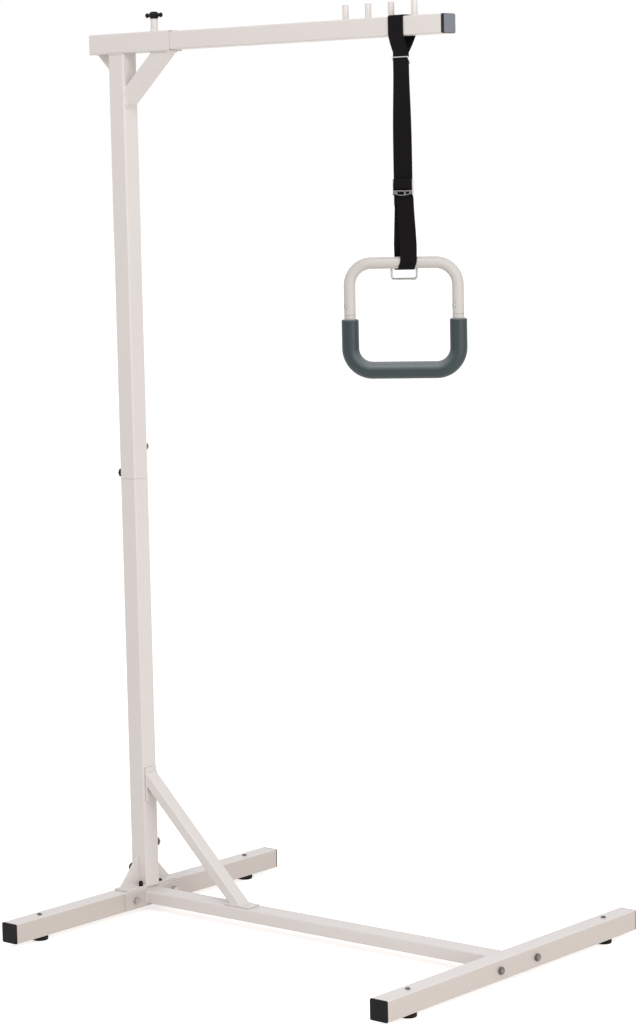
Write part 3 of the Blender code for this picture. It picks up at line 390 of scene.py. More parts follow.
def coat_look(name, colour, roughness, grain, relief, spread, clear=0.0, shine=0.5, end=None, axis="X",
              share=(0.75, 0.95)):
    """Paint, plastic or rubber: colour and gloss wander, over a fine grain. end is a colour painted on the
    faces that look along the axis, standing in for light: painted shade when darker, a painted highlight
    when lighter."""
    look = new_look(name, roughness)
    place = look.place()
    wide = look.noise(place, 6.0, 4.0)
    colours = look.ramp(wide, [(0.3, tinted(colour, 1 - spread)), (0.7, tinted(colour, 1 + spread))])
    # painted light: faces that look along the axis are painted with the end colour in place of their own
    # shading
    if end:
        split = look.add("ShaderNodeSeparateXYZ")
        look.feed(split, "Vector", look.place("Normal"))
        mix = look.add("ShaderNodeMix", data_type="RGBA")
        painted_light_share = look.ramp(split.outputs[axis], [(share[0], (0.0,) * 3), (share[1], (1.0,) * 3)])
        factor, first, second, result = 0, 6, 7, 2      # the sockets that a colour mix uses
        look.feed(mix, factor, painted_light_share)
        look.feed(mix, first, colours)
        look.feed(mix, second, (*end, 1.0))
        colours = mix.outputs[result]
    look.shade("Base Color", colours)
    look.shade("Specular IOR Level", shine)
    gloss = look.math("MULTIPLY_ADD", look.noise(place, 60.0), 0.12, roughness - 0.06)
    look.shade("Roughness", gloss)
    look.bump(look.noise(place, grain), relief, 0.0002)
    look.shade("Coat Weight", clear)
    look.shade("Coat Roughness", 0.25)
    return look.owner


def plated_look(name, colour, roughness):
    """Zinc-plated steel, cloudy and finely scratched."""
    look = new_look(name, roughness, 1.0)
    place = look.place()
    clouds = look.noise(place, 140.0, 5.0, 0.6)
    warm = (colour[0] * 1.06, colour[1] * 1.02, colour[2] * 0.94)
    colours = look.ramp(clouds, [(0.3, tinted(colour, 0.82)), (0.55, colour), (0.75, warm)])
    look.shade("Base Color", colours)
    look.shade("Roughness", look.math("MULTIPLY_ADD", clouds, 0.2, roughness - 0.08))
    look.bump(look.noise(place, 1600.0, 2.0), 0.12, 0.0001)
    return look.owner


YARN_PITCH, RIB_PITCH = 0.0011, 0.0021


def webbing_look(name, dark, light):
    """Woven polyester: ribs across the strap, crossed by warp yarns, in the strip's own coordinates."""
    look = new_look(name, 0.82)
    split = look.add("ShaderNodeSeparateXYZ")
    look.feed(split, "Vector", look.place("UV"))
    across = look.math("SINE", look.math("MULTIPLY", split.outputs["X"], math.tau / YARN_PITCH))
    shift = look.math("MULTIPLY", look.math("SIGN", across), math.pi / 2)
    along = look.math("MULTIPLY", split.outputs["Y"], math.tau / RIB_PITCH)
    ribs = look.math("SINE", look.math("ADD", along, shift))
    yarn = look.math("ABSOLUTE", across)
    height = look.math("MULTIPLY", look.math("MULTIPLY_ADD", ribs, 0.5, 0.5), yarn)
    fuzz = look.noise(look.place(), 2600.0, 2.0)
    weave = look.math("ADD", height, look.math("MULTIPLY", fuzz, 0.35))
    look.shade("Base Color", look.ramp(weave, [(0.1, dark), (0.9, light)]))
    look.bump(weave, 0.55, 0.0004)
    look.shade("Specular IOR Level", 0.07)
    look.shade("Sheen Weight", 0.04)
    return look.owner


CREAM = (0.735, 0.688, 0.664)
PAINT = {"grain": 900.0, "relief": 0.22, "spread": 0.012}
PLASTIC = {"grain": 700.0, "relief": 0.3, "spread": 0.2}
LOOKS = {
    "cream_coat": coat_look("cream_coat", CREAM, 0.36, clear=0.12, **PAINT),
    "black_plastic": coat_look("black_plastic", (0.008, 0.0075, 0.009), 0.42, shine=0.13, **PLASTIC),
    "black_rubber": coat_look("black_rubber", (0.009, 0.009, 0.009), 0.72, 500.0, 0.5, 0.2, shine=0.2),
    "zinc_steel": plated_look("zinc_steel", (0.66, 0.66, 0.65), 0.3),
    "black_webbing": webbing_look("black_webbing", (0.0025, 0.0022, 0.0025), (0.011, 0.009, 0.011)),
    # the grip's upward faces are painted lighter: a painted highlight along the top of the grip
    "slate_grip": coat_look("slate_grip", (0.017, 0.033, 0.037), 0.45, 1100.0, 0.3, 0.05,
                            end=(0.16, 0.18, 0.185), axis="Z", share=(0.0, 0.8)),
}
# cream paint whose faces looking along +X are painted darker: painted shade on the crossbars and the base
# beam
BAR_COAT_PAINTED_SHADE = coat_look("bar_coat_painted_shade", CREAM, 0.36, clear=0.12, end=(0.595, 0.535, 0.495), **PAINT)
# the same cream paint made darker for the handle's tubes: painted shade
HANDLE_COAT_PAINTED_SHADE = coat_look("handle_coat_painted_shade", (0.575, 0.545, 0.515), 0.42, shine=0.35, **PAINT)
SCREW_LOOK = coat_look("screw_plastic", (0.13, 0.128, 0.125), 0.45, 700.0, 0.3, 0.1, shine=0.3)
# black plastic whose end face, looking along +X, is painted a light blue grey: a painted reflection
TIP_LOOK_PAINTED_REFLECTION = coat_look("tip_plastic_painted_reflection", (0.010, 0.0095, 0.011), 0.42, shine=0.3, end=(0.20, 0.21, 0.25),
                     share=(0.9, 0.99), **PLASTIC)
DARK_STEEL = plated_look("dark_steel", (0.20, 0.195, 0.19), 0.42)
GREY_STEEL = plated_look("grey_steel", (0.50, 0.49, 0.48), 0.36)

for row in frame["record"]["subparts"]:
    node = frame["nodes"][row["node"]]
    node.data.materials.clear()
    node.data.materials.append(LOOKS[row["material_slot"]])


# Base

def span(node, axis):
    """Where the CAD node starts and ends along an axis, and its middle across that axis."""
    low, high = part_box(node)
    along = "XYZ".index(axis)
    return low[along], high[along], [((low + high) / 2)[i] for i in range(3) if i != along]


def nut_sections(lo, hi, size):
    """A hexagon whose corners are chamfered at both ends."""
    way = 1.0 if hi > lo else -1.0
    steps = ((0.07, 0.0), (0.035, 0.0005), (0.0, 0.0012))
    first = [(hexagon(size, trim), lo + way * at) for trim, at in steps]
    last = [(hexagon(size, trim), hi - way * at) for trim, at in steps[::-1]]
    return first + last


def add_hex_head(form, axis, at, end, way, tall, size, rim=0.0005):
    """A bolt's head up to its end, on which a turned face stands proud of the chamfered rim."""
    form.stack(axis, at, nut_sections(end - way * tall, end - way * rim, size))
    form.disc(axis, at, end - way * 0.0008, end, 0.4 * size)


def show_base():
    for place in ("rear", "front"):
        node = f"{place}_crossbar"
        low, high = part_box(node)
        start, end, at = span(node, "Y")
        form = Form()
        form.bar("Y", at, start, end, high.x - low.x, high.z - low.z)
        show(node, form, BAR_COAT_PAINTED_SHADE)
        for side, way in (("left", -1), ("right", 1)):
            show_crossbar_cap(f"crossbar_cap_{place}_{side}", at, way)
    for corner in ("rear_left", "rear_right", "front_left", "front_right"):
        show_foot(corner)
        show_flange_fasteners(corner)
    show_base_beam()


def show_crossbar_cap(node, at, way):
    """A plug that tapers into the tube, under a cap with soft edges."""
    low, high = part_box(node)
    start, end = (low.y, high.y)[::way]
    seat = way * (CROSSBAR_HALF + GAP)
    form = Form()
    form.stack("Y", at, eased(shrinking(TUBE, TUBE, 0.0032, 0.7), seat, end, 0.0009))
    form.stack("Y", at, [(rounded(0.0335, 0.0335, 0.001), start), (rounded(0.0362, 0.0362, 0.0014), seat)])
    show(node, form)


def show_base_beam():
    """A flat tube with a flange plate welded round each end."""
    low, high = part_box("base_beam")
    at = (0.0, BEAM_Z)
    form = Form()
    form.bar("X", at, low.x + GAP, high.x - GAP, BEAM_WIDTH, BEAM_HEIGHT)
    window = rounded(BEAM_WIDTH - BAR_WALL, BEAM_HEIGHT - BAR_WALL, CORNER)
    weld = rounded(BEAM_WIDTH + 0.0005, BEAM_HEIGHT + 0.0005, CORNER, 2)
    for start, way in ((low.x, 1), (high.x, -1)):
        face = start + way * 0.004
        outer = eased(shrinking(0.170, 0.033, CORNER), start, face)
        form.stack("X", at, outer + [(window, face), (window, start)], loop=True)
        form.bead_round("X", at, face + way * 0.0004, weld, 0.0017)
    show("base_beam", form, BAR_COAT_PAINTED_SHADE)


def show_foot(corner):
    node = f"foot_{corner}"
    _, top, at = span(node, "Z")
    form = Form()
    profile = [(0.00005, 0.0024), (0.0065, 0.0022), (0.0075, 0.0012), (0.0137, 0.001), (0.0143, 0.0002),
               (0.0148, 0.0), (0.0153, 0.0003), (0.0157, 0.0012), (0.016, 0.003), (0.016, 0.0068),
               (0.0156, 0.0078), (0.0147, 0.0085), (0.0141, top - 0.0002), (0.0137, top), (0.0042, top),
               (0.0042, 0.004), (0.00005, 0.004)]
    form.lathe("Z", at, profile, 48)
    show(node, form)

    node = f"foot_screw_{corner}"
    start, _, at = span(node, "Z")
    seat = CROSSBAR_TOP + GAP
    dome = [(SHANK_M8, start - seat), (SHANK_M8, 0.0), (0.0046, 0.0), (0.0049, 0.0002), (0.0050, 0.0007),
            (0.0048, 0.0014), (0.0042, 0.0020), (0.0032, 0.0024), (0.0025, 0.0024), (0.0022, 0.0016),
            (0.0002, 0.0013)]
    form = Form()
    form.lathe("Z", at, dome, 36, seat)
    show(node, form, SCREW_LOOK)


def show_flange_fasteners(corner):
    way = 1 if corner.startswith("rear") else -1
    bolt, nut = f"flange_bolt_{corner}", f"cap_nut_{corner}"
    *ends, at = span(bolt, "X")
    end, head = ends[::way]
    shank = circle(SHANK_M8, 24)
    form = Form()
    form.stack("X", at, [(shank, end), (shank, head - way * 0.0066)])
    form.disc("X", at, head - way * 0.0070, head - way * 0.0057, 0.007)
    add_hex_head(form, "X", at, head, way, HEAD_M8, HEX_M8)
    show(bolt, form, GREY_STEEL)

    low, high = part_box(nut)
    seat, out = (high.x if way > 0 else low.x), -way
    form = Form()
    form.disc("X", at, seat, seat + out * 0.0013, 0.007)
    form.stack("X", at, nut_sections(seat + out * 0.0012, seat + out * 0.0053, HEX_M8))
    dome = [(0.0057, 0.0050), (0.0057, 0.0055), (0.0054, 0.0061), (0.0047, 0.0068), (0.0036, 0.0074),
            (0.0022, 0.0078), (0.0002, 0.0080)]
    form.lathe("X", at, dome, 36, seat, out)
    show(nut, form, DARK_STEEL)


# Column

def show_hand_knob(node):
    """A fluted black knob whose stud goes through the welded nut."""
    tip, end, at = span(node, "X")
    back = tip + (0.0145 if node == "foot_knob" else 0.011)
    form = Form()
    form.disc("X", at, end, back - 0.001, SHANK_M8, sides=24)
    form.disc("X", at, back, back - 0.0025, 0.0078, 0.0004, 36)

    def fluted(amount):
        turns = [i * math.tau / 96 for i in range(96)]
        return [on_circle(0.0093 + 0.00045 * math.cos(8 * a) - amount, a) for a in turns]
    form.stack("X", at, eased(fluted, back - 0.002, tip + 0.0012, 0.0016, 4))
    cap = [(0.0070, 0.0014), (0.0064, 0.0003), (0.0056, 0.00005), (0.0050, 0.0006), (0.0002, 0.0009)]
    form.lathe("X", at, cap, 36, tip)
    show(node, form)


def show_set_bolt(node):
    start, top, at = span(node, "Y")
    end, root = top - HEAD_M8, 0.00335
    thread = []
    for i in range(int((end - start) / PITCH_M8)):
        foot = start + i * PITCH_M8
        thread += [(root, foot), (SHANK_M8, foot + 0.0005), (SHANK_M8, foot + 0.0007)]
    form = Form()
    form.lathe("Y", at, thread + [(root, end), (SHANK_M8, end + 0.0003)], 24)
    add_hex_head(form, "Y", at, top, 1, HEAD_M8, HEX_FOOT if node == "foot_set_bolt" else HEX_M8)
    show(node, form, DARK_STEEL)


def add_weld_nut(form, axis, height, way):
    face = way * TUBE / 2 + (COLUMN_X if axis == "X" else 0.0)
    at = (0.0, height) if axis == "X" else (COLUMN_X, height)
    outer = nut_sections(face, face + way * 0.0065, HEX_M8)
    bore = circle(0.0042, 48)
    form.stack(axis, at, outer + [(bore, face + way * 0.0065), (bore, face)], loop=True)
    form.bead_round(axis, at, face + way * 0.0003, hexagon(HEX_M8 + 0.001)[::2], 0.0011)


def show_lower_column():
    """The lower tube, with half a foot plate and a gusset on each side."""
    low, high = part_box("lower_column")
    base, top = low.z, low.z + PLATE
    plane = COLUMN_X - 0.0047                  # the gussets' middle
    near, far, gusset_top = 0.0195, 0.075, 0.112
    form = Form()
    form.bar("Z", (COLUMN_X, 0.0), base, high.z, TUBE, TUBE)
    for hand in (-1, 1):
        ends = sorted((hand * near, hand * far))
        form.plate("Z", rectangle(COLUMN_X - 0.0185, COLUMN_X + 0.0185, *ends), base, top)
        y, edge = hand * near, hand * (far - 0.001)
        wedge = [(y, top - 0.0008), (edge, top - 0.0008), (edge, top + 0.001), (hand * TUBE / 2, gusset_top),
                 (y, gusset_top)]
        form.plate("X", wedge, plane - 0.002, plane + 0.002)
        for side in (-1, 1):
            x, y = plane + side * 0.0024, hand * 0.0212
            corners = [(x, y, gusset_top - 0.002), (x, y, top + 0.0008), (x, hand * 0.072, top + 0.0006)]
            form.bead(corners, 0.0016)
            y, z = hand * 0.0206, top + 0.0004
            form.bead([(COLUMN_X + side * 0.0165, y, z), (plane + side * 0.004, y, z)], 0.0017)
    for side in (-1, 1):
        x, z = COLUMN_X + side * 0.0204, base + 0.0012
        form.bead([(x, -0.0165, z), (x, 0.0165, z)], 0.0014)
    add_weld_nut(form, "X", 0.0805, -1)
    add_weld_nut(form, "Y", 0.1335, 1)
    show("lower_column", form)


def show_foot_plate_screw(node):
    start, crown, at = span(node, "Z")
    seat = CROSSBAR_TOP + PLATE + 2 * GAP
    form = Form()
    form.disc("Z", at, start, seat + 0.001, SHANK_M6, sides=24)
    head = [(0.0043, seat - crown), (0.0044, seat + 0.0002 - crown), (0.0043, -0.0022), (0.0040, -0.0010),
            (0.0034, -0.0003), (0.0030, 0.0), (0.0024, 0.0), (0.0023, -0.0002), (0.0021, -0.0020),
            (0.0002, -0.0021)]
    form.lathe("Z", at, head, 36, crown)
    show(node, form)


def show_column():
    show_lower_column()
    low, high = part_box("upper_column")
    form = Form()
    form.bar("Z", (COLUMN_X, 0.0), low.z, high.z, TUBE, TUBE)
    add_weld_nut(form, "X", 0.905, -1)
    add_weld_nut(form, "Y", 0.957, 1)
    show("upper_column", form)
    for place in ("foot", "splice"):
        show_hand_knob(f"{place}_knob")
        show_set_bolt(f"{place}_set_bolt")
    for i in range(1, 5):
        show_foot_plate_screw(f"foot_plate_screw_{i}")


# Braces

def add_strut(form, width, depth, base, along, start, end):
    """A rectangular tube in the XZ plane; each end lies in a plane given as (axis index, value)."""
    out = along.cross(ACROSS)
    outer = rounded(width, depth, CORNER)
    inner = rounded(width - 2 * BAR_WALL, depth - 2 * BAR_WALL, CORNER - BAR_WALL)
    rings = []
    for shape, (index, value) in ((outer, start), (outer, end), (inner, end), (inner, start)):
        corners = [base + ACROSS * p + out * q for p, q in shape]
        rings.append([corner + along * (value - corner[index]) / along[index] for corner in corners])
    form.skin(rings, loop=True)
    return rings


def bead_on_ring(form, ring, radius, nudge):
    """A bead round the foot of an oblique tube, on every second point of its end."""
    form.bead([point + Vector(nudge) for point in ring[::2]], radius, closed=True)


def show_brace_bolt(node, axis, way):
    """Its head is at the high end if way is 1, and at the low end if way is -1."""
    *ends, at = span(node, axis)
    tip, end = ends[::way]
    form = Form()
    form.disc(axis, at, tip, end - way * 0.002, SHANK_M6, sides=24)
    add_hex_head(form, axis, at, end, way, HEAD_M6, HEX_M6, rim=0.0003)
    show(node, form)


def show_diagonal_brace():
    angle = math.radians(44.4)
    down = Vector((math.cos(angle), 0.0, -math.sin(angle)))
    width, depth = 0.030, 0.022
    tab, plate = COLUMN_X + TUBE / 2 + GAP, BEAM_Z + BEAM_HEIGHT / 2 + GAP
    tab_face, plate_top = tab + 0.004, plate + PLATE
    start = Vector((COLUMN_X + TUBE / 2, 0.0, 0.2938 - depth / 2 / math.cos(angle)))
    form = Form()
    rings = add_strut(form, width, depth, start, down, (0, tab_face - 0.0005), (2, plate_top - 0.0005))
    bead_on_ring(form, rings[0], 0.0017, (0.0007, 0.0, 0.0))
    bead_on_ring(form, rings[1], 0.0019, (0.0, 0.0, 0.0007))
    form.plate("X", rectangle(-0.0155, 0.0155, 0.228, 0.299), tab, tab_face, 0.0006)
    foot = rectangle(COLUMN_X + 0.232, COLUMN_X + 0.295, -0.018, 0.018)
    form.plate("Z", foot, plate, plate_top)
    show("diagonal_brace", form)
    show_brace_bolt("brace_upper_bolt", "X", 1)
    show_brace_bolt("brace_lower_bolt", "Z", -1)


def show_knee_brace():
    angle = math.radians(42.0)
    up = Vector((math.cos(angle), 0.0, math.sin(angle)))
    side = 0.030
    start = Vector((COLUMN_X + TUBE / 2, 0.0, 1.685 - side / 2 / math.cos(angle)))
    form = Form()
    rings = add_strut(form, side, side, start, up, (0, COLUMN_X + TUBE / 2 + GAP), (2, UNDER_SLEEVE))
    bead_on_ring(form, rings[0], 0.0021, (0.0005, 0.0, 0.0))
    bead_on_ring(form, rings[1], 0.0019, (0.0, 0.0, -0.0005))
    show("knee_brace", form)


def show_rear_gusset():
    near, top, reach = COLUMN_X - TUBE / 2 - GAP, UNDER_SLEEVE, 0.0445
    form = Form()
    form.plate("Y", [(near - reach, top), (near, top - reach), (near, top)], -0.002, 0.002)
    for side in (-1, 1):
        y, z, tip = side * 0.0023, top - 0.0006, reach - 0.004
        form.bead([(near - tip, y, z), (near - 0.001, y, z), (near - 0.0005, y, top - tip)], 0.0016)
    show("rear_gusset", form)


# Arm

CLAMP_AT = (COLUMN_X + 0.0895, 0.0)      # the boss, the clamp screw and its knob


def show_sleeve():
    """The tube, whose mouth is a little wider than its bore, and the threaded boss on its top."""
    low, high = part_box("arm_sleeve")
    form = Form()
    inside = TUBE - 2 * BAR_WALL
    mouth, bore = rounded(0.0378, 0.0378, 0.0019), rounded(inside, inside, CORNER - BAR_WALL)
    step = high.x - 0.004                # how deep the mouth goes
    outer = eased(shrinking(TUBE, TUBE, CORNER), low.x, high.x)
    inner = [(mouth, high.x), (mouth, step), (bore, step), (bore, low.x)]
    form.stack("X", (0.0, ARM_Z), outer + inner, loop=True)
    top = ARM_Z + TUBE / 2
    boss = [(0.0102, 0.0), (0.0102, 0.0005), (0.0092, 0.0016), (0.0082, 0.0028), (0.0075, 0.0044),
            (0.0073, 0.0064), (0.0073, 0.0222), (0.0076, 0.0234), (0.0081, 0.0242), (0.0081, 0.0250),
            (0.0078, 0.0254), (0.0053, 0.0254), (0.0052, 0.0251), (0.0052, 0.0)]
    form.lathe("Z", CLAMP_AT, boss, 40, top - 0.0004, loop=True)
    form.bead_round("Z", CLAMP_AT, top + 0.0004, circle(0.0098, 24), 0.0011)
    face, z = TUBE / 2 + 0.0004, UNDER_SLEEVE - 0.0003
    for side in (-1, 1):
        y = side * face
        form.bead([(COLUMN_X - 0.0172, y, z), (COLUMN_X + 0.0172, y, z)], 0.0015)
        x = COLUMN_X + side * face
        form.bead([(x, -0.0165, z), (x, 0.0165, z)], 0.0015)
    show("arm_sleeve", form)


def show_clamp_screw():
    low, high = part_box("clamp_screw")
    form = Form()
    thread = [(0.0030, low.z), (0.0040, low.z + 0.001)]
    for z in even_steps(low.z + 0.0015, high.z - 0.002, 19):
        thread += [(0.00425, z), (0.0049, z + 0.0005), (0.0049, z + 0.0008)]
    form.lathe("Z", CLAMP_AT, thread + [(0.0045, high.z - 0.0003), (0.0042, high.z)], 28)
    show("clamp_screw", form)


def show_locking_knob():
    low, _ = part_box("locking_knob")
    form = Form()
    hub = [(0.0052, 0.0080), (0.0052, 0.0), (0.0068, 0.0), (0.0076, 0.0004), (0.0084, 0.0016),
           (0.0093, 0.0036), (0.0101, 0.0056), (0.0104, 0.0070), (0.0101, 0.0084), (0.0094, 0.0104),
           (0.0080, 0.0122), (0.0060, 0.0134), (0.0036, 0.0140), (0.0003, 0.0141)]
    form.lathe("Z", CLAMP_AT, hub, 40, low.z)
    middle = Vector((*CLAMP_AT, low.z + 0.0068))
    outline = [(0.0, 0.0046), (0.25, 0.0044), (0.45, 0.0036), (0.58, 0.0032), (0.66, 0.0033), (0.74, 0.0040),
               (0.82, 0.0047), (0.89, 0.0048), (0.95, 0.0042), (0.985, 0.0030), (1.0, 0.0012)]
    for way in (-1, 1):
        points = [middle + Vector((way * share * 0.021, 0.0, 0.0)) for share, _ in outline]
        form.cable(points, [radius for _, radius in outline], 24)
    show("locking_knob", form)


def show_arm():
    low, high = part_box("arm_tube")
    form = Form()
    form.bar("X", (0.0, ARM_Z), low.x, high.x - 0.0022, ARM_TUBE, ARM_TUBE, wall=0.0015)
    top = ARM_Z + ARM_TUBE / 2
    for i in range(4):
        at = (COLUMN_X + FIRST_PEG + i * PEG_PITCH, 0.0)
        form.disc("Z", at, top - 0.0008, top + 0.028, 0.006, 0.0008)
        form.bead_round("Z", at, top + 0.0004, circle(0.0064, 16), 0.0011, pitch=0.0018)
    show("arm_tube", form)

    low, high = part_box("arm_tip_cap")
    seat = high.x - 0.0072
    form = Form()
    plug = [(rounded(0.0297, 0.0297, 0.001), low.x), (rounded(0.0324, 0.0324, 0.0014), seat)]
    form.stack("X", (0.0, ARM_Z), plug)
    cap = eased(shrinking(ARM_TUBE, ARM_TUBE, 0.0032, 0.6), seat, high.x, 0.0014, 4)
    form.stack("X", (0.0, ARM_Z), cap)
    show("arm_tip_cap", form, TIP_LOOK_PAINTED_REFLECTION)


# Strap

PLY = WEB + GAP + WEB / 2          # from the strap's middle to the middle of an outer ply
NECK_Z = 1.7118                    # where the loop's two plies meet under the arm
UPPER_END_Z = 1.650                # where the upper and lower webbing meshes meet
LOWER_END_Z = 1.440                # hidden between the handle loop's plies


def smooth_share(value):
    share = min(max(value, 0.0), 1.0)
    return share * share * (3 - 2 * share)


def strap_turn(z):
    """The webbing's turn about the vertical at a height."""
    return TWIST * smooth_share((SWING_Z - z) / TWIST_LENGTH)


def flat_path(points, side):
    """Stations of a strip along a path whose side direction stays the same."""
    stations = []
    for i, point in enumerate(points):
        before, after = points[max(i - 1, 0)], points[min(i + 1, len(points) - 1)]
        along = (after - before).normalized()
        stations.append((point, side, along.cross(side)))
    return stations


def split_path(points, step=0.004):
    """The same path with a point at least every step."""
    made = []
    for a, b in zip(points, points[1:]):
        count = max(int((b - a).length / step), 1)
        made += [a.lerp(b, i / count) for i in range(count)]
    return made + [points[-1]]


def show_arm_loop():
    """Once round the arm's square section, then down to the neck."""
    half, inner = ARM_TUBE / 2 + GAP, 0.0033      # the webbing's inner face, and the radius of its bends
    bend = inner + WEB / 2
    sides = []
    for hand in (1, -1):
        start = hand * STRAP.y + WEB / 2 + 0.00008
        lean = math.atan((half + WEB / 2 - hand * STRAP.y) / 0.034)
        corner = []
        for way, first, last in ((-1, -lean, 0.0), (1, 0.0, math.pi / 2)):
            for a in even_steps(first, last, 8):
                corner.append(on_circle(bend, a, half - inner, way * (half - inner)))
        y, z = corner[0]
        neck = z - (y - start) / math.tan(lean)
        leg = []
        for share in even_steps(0.0, 1.0, 10):
            bow = 0.0009 * math.sin(math.pi * share)
            leg.append((start + (y - start) * share + bow, neck + (z - neck) * share))
        side = [(start, NECK_Z - ARM_Z), (start, neck - 0.002)] + leg[:-1] + corner
        sides.append([(hand * y, z) for y, z in side])
    points = [Vector((STRAP.x, y, ARM_Z + z)) for y, z in sides[0] + sides[1][::-1]]
    form = Form()
    form.strip(flat_path(split_path(points), Vector((1.0, 0.0, 0.0))), WEB_WIDTH, WEB)
    show("strap_arm_loop", form)


def double_web(form, top, bottom):
    """Two plies side by side, turning with the strap; the run is measured from the neck."""
    heights = even_steps(top, bottom, int((top - bottom) / 0.003))
    for hand in (-1, 1):
        stations = []
        for z in heights:
            turn = strap_turn(z)
            side = Vector((math.cos(turn), math.sin(turn), 0.0))
            face = UP.cross(side) * hand
            stations.append((STRAP + UP * z + face * (WEB / 2 + 0.00004), side, face))
        form.strip(stations, WEB_WIDTH, WEB, start=NECK_Z - top + 0.0006 * hand)


def show_webs():
    form = Form()
    double_web(form, NECK_Z, UPPER_END_Z)
    obj = finish_mesh("strap_upper_web_shape", form, LOOKS["black_webbing"])
    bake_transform(obj)
    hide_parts("strap_upper_web")

    form = Form()
    double_web(form, UPPER_END_Z, LOWER_END_Z)
    obj = finish_mesh("strap_lower_web_shape", form, LOOKS["black_webbing"])
    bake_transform(obj)
    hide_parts("strap_lower_web")


def wire_outline(width, height, corner):
    """A rectangular ring's middle line from the middle of its top bar, as (across, drop)."""
    half, low = width / 2 - corner, height - corner
    points = [(0.0, 0.0)]
    for quarter, (p, q) in enumerate(((half, corner), (half, low), (-half, low), (-half, corner))):
        for a in even_steps((quarter - 1) * math.pi / 2, quarter * math.pi / 2, 8):
            points.append(on_circle(corner, a, p, q))
    return points


def show_keeper():
    low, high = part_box("strap_keeper_ring")
    wire, tall = 0.0011, 0.014
    outline = wire_outline(high.x - low.x - 2 * wire, tall, 0.002)
    lean = math.asin((high.y - low.y - 2 * wire) / tall)
    drop = Vector((0.0, math.sin(lean), -math.cos(lean)))
    top = Vector((STRAP.x, low.y + wire, high.z - wire))
    points = [top + Vector((across, 0.0, 0.0)) + drop * down for across, down in outline]
    form = Form()
    form.cable(points, [wire] * len(points), 14, loop=True)
    show("strap_keeper_ring", form)


# Strap adjuster and hanging ring; (across, behind, rise) from the middle of the handle's top bar

def near_handle(across, behind, rise):
    return STRAP + ALONG * across + BEHIND * behind + UP * (HANDLE_Z + rise)


HANDLE_SHIFT, RING_SHIFT = -0.0028, -0.0034      # across, from the strap's middle
ADJUSTER_FRAME = Matrix.Translation(near_handle(0.0, 0.0, 0.0)) @ Matrix.Rotation(TWIST, 4, "Z")
HANDLE_FRAME = ADJUSTER_FRAME @ Matrix.Translation((HANDLE_SHIFT, 0.0, 0.0))
RING_FRAME = ADJUSTER_FRAME @ Matrix.Translation((RING_SHIFT, 0.0, 0.0))

# V in a name is how far behind the strap's middle, and RISE how far above the handle's bar
HANDLE_TUBE = 0.011
BUCKLE_LOW, BUCKLE_TOP = 0.1250, 0.1549
BAR_HALF, BAR_TALL, BAR_TOP = 0.0010, 0.0045, BUCKLE_TOP - 0.0023      # the bar that the tail folds over
FOLD = BAR_HALF + GAP + WEB / 2
BAR_V = -(PLY + FOLD)
PIN_V = -(PLY + WEB / 2 + GAP + 0.0018)
PIN_RISE = BUCKLE_LOW + 0.0078
CHEEK_IN, CHEEK_OUT = 0.0179, 0.0189
BACK_V = PLY + WEB / 2 + GAP
EYE_RADIUS = 0.0038
EYE_V = HANDLE_TUBE + GAP + WEB + 0.0041
EYE_RISE = 0.0015
PARTING = 0.0365         # how far above the handle's bar the loop's plies part


def front_share(point):
    """1 on the near side of the handle's loop, and 0 on its far side and from the adjuster up."""
    rise, behind = point.z - HANDLE_Z, (point - near_handle(0.0, 0.0, 0.0)).dot(BEHIND)
    return smooth_share((0.004 - behind) / 0.008) * smooth_share((BUCKLE_LOW + 0.004 - rise) / 0.012)


def show_handle_loop():
    """From its folded tail over the adjuster's bar, down, round the handle and up to the adjuster again."""
    path = [(BAR_V - FOLD, BUCKLE_LOW + 0.0121)]
    top = BAR_TOP - BAR_HALF
    path += [on_circle(FOLD, a, BAR_V, top) for a in even_steps(math.pi, 0.0, 16)]
    radius = HANDLE_TUBE + GAP + WEB / 2
    start = math.atan2(PARTING, -PLY) + math.acos(radius / math.hypot(PLY, PARTING))
    path += [(-PLY, PARTING + 0.004), (-PLY - 0.0004, PARTING - 0.002)]
    path += [on_circle(radius, a) for a in even_steps(start, 3 * math.pi - start, 40)]
    path += [(PLY + 0.0004, PARTING - 0.002), (PLY, PARTING + 0.004), (PLY, BUCKLE_TOP - 0.0013)]
    stations = []
    for point, side, face in flat_path(split_path([near_handle(0.0, v, z) for v, z in path]), ALONG):
        rise, front = point.z - HANDLE_Z, front_share(point)
        drift = 1 - smooth_share((rise - 0.010) / (BUCKLE_LOW - 0.010))
        under = smooth_share((0.002 - rise) / 0.013)
        shift = front * (0.0021 + 0.0050 * drift - 0.0045 * under) - (1 - front) * (0.0035 * drift - 0.0004)
        stations.append((point + ALONG * shift, side, face))
    form = Form()
    form.strip(stations, WEB_WIDTH, WEB, trim=lambda point: 0.0036 * front_share(point))
    turns = even_steps(0.0, math.tau, 24)[:-1]
    eye = [near_handle(0.0, *on_circle(EYE_RADIUS, a, EYE_V, EYE_RISE)) for a in turns]
    form.strip(flat_path(eye + eye[:1], ALONG), WEB_WIDTH - 0.007, WEB)
    show("strap_handle_loop", form)


def frame_plan(amount):
    """The adjuster frame's plan, open at the front and rounded at its back corners, inset by an amount."""
    front, bend = PIN_V - 0.0020, 0.0010
    points = [(-CHEEK_OUT + amount, front), (-CHEEK_IN - amount, front)]
    points += [(-CHEEK_IN - amount, BACK_V - amount), (CHEEK_IN + amount, BACK_V - amount)]
    points += [(CHEEK_IN + amount, front), (CHEEK_OUT - amount, front)]
    radius = bend - amount
    for start, centre in ((0.0, CHEEK_OUT - bend), (math.pi / 2, -CHEEK_OUT + bend)):
        for a in even_steps(start, start + math.pi / 2, 5):
            points.append(on_circle(radius, a, centre, BACK_V))
    return points


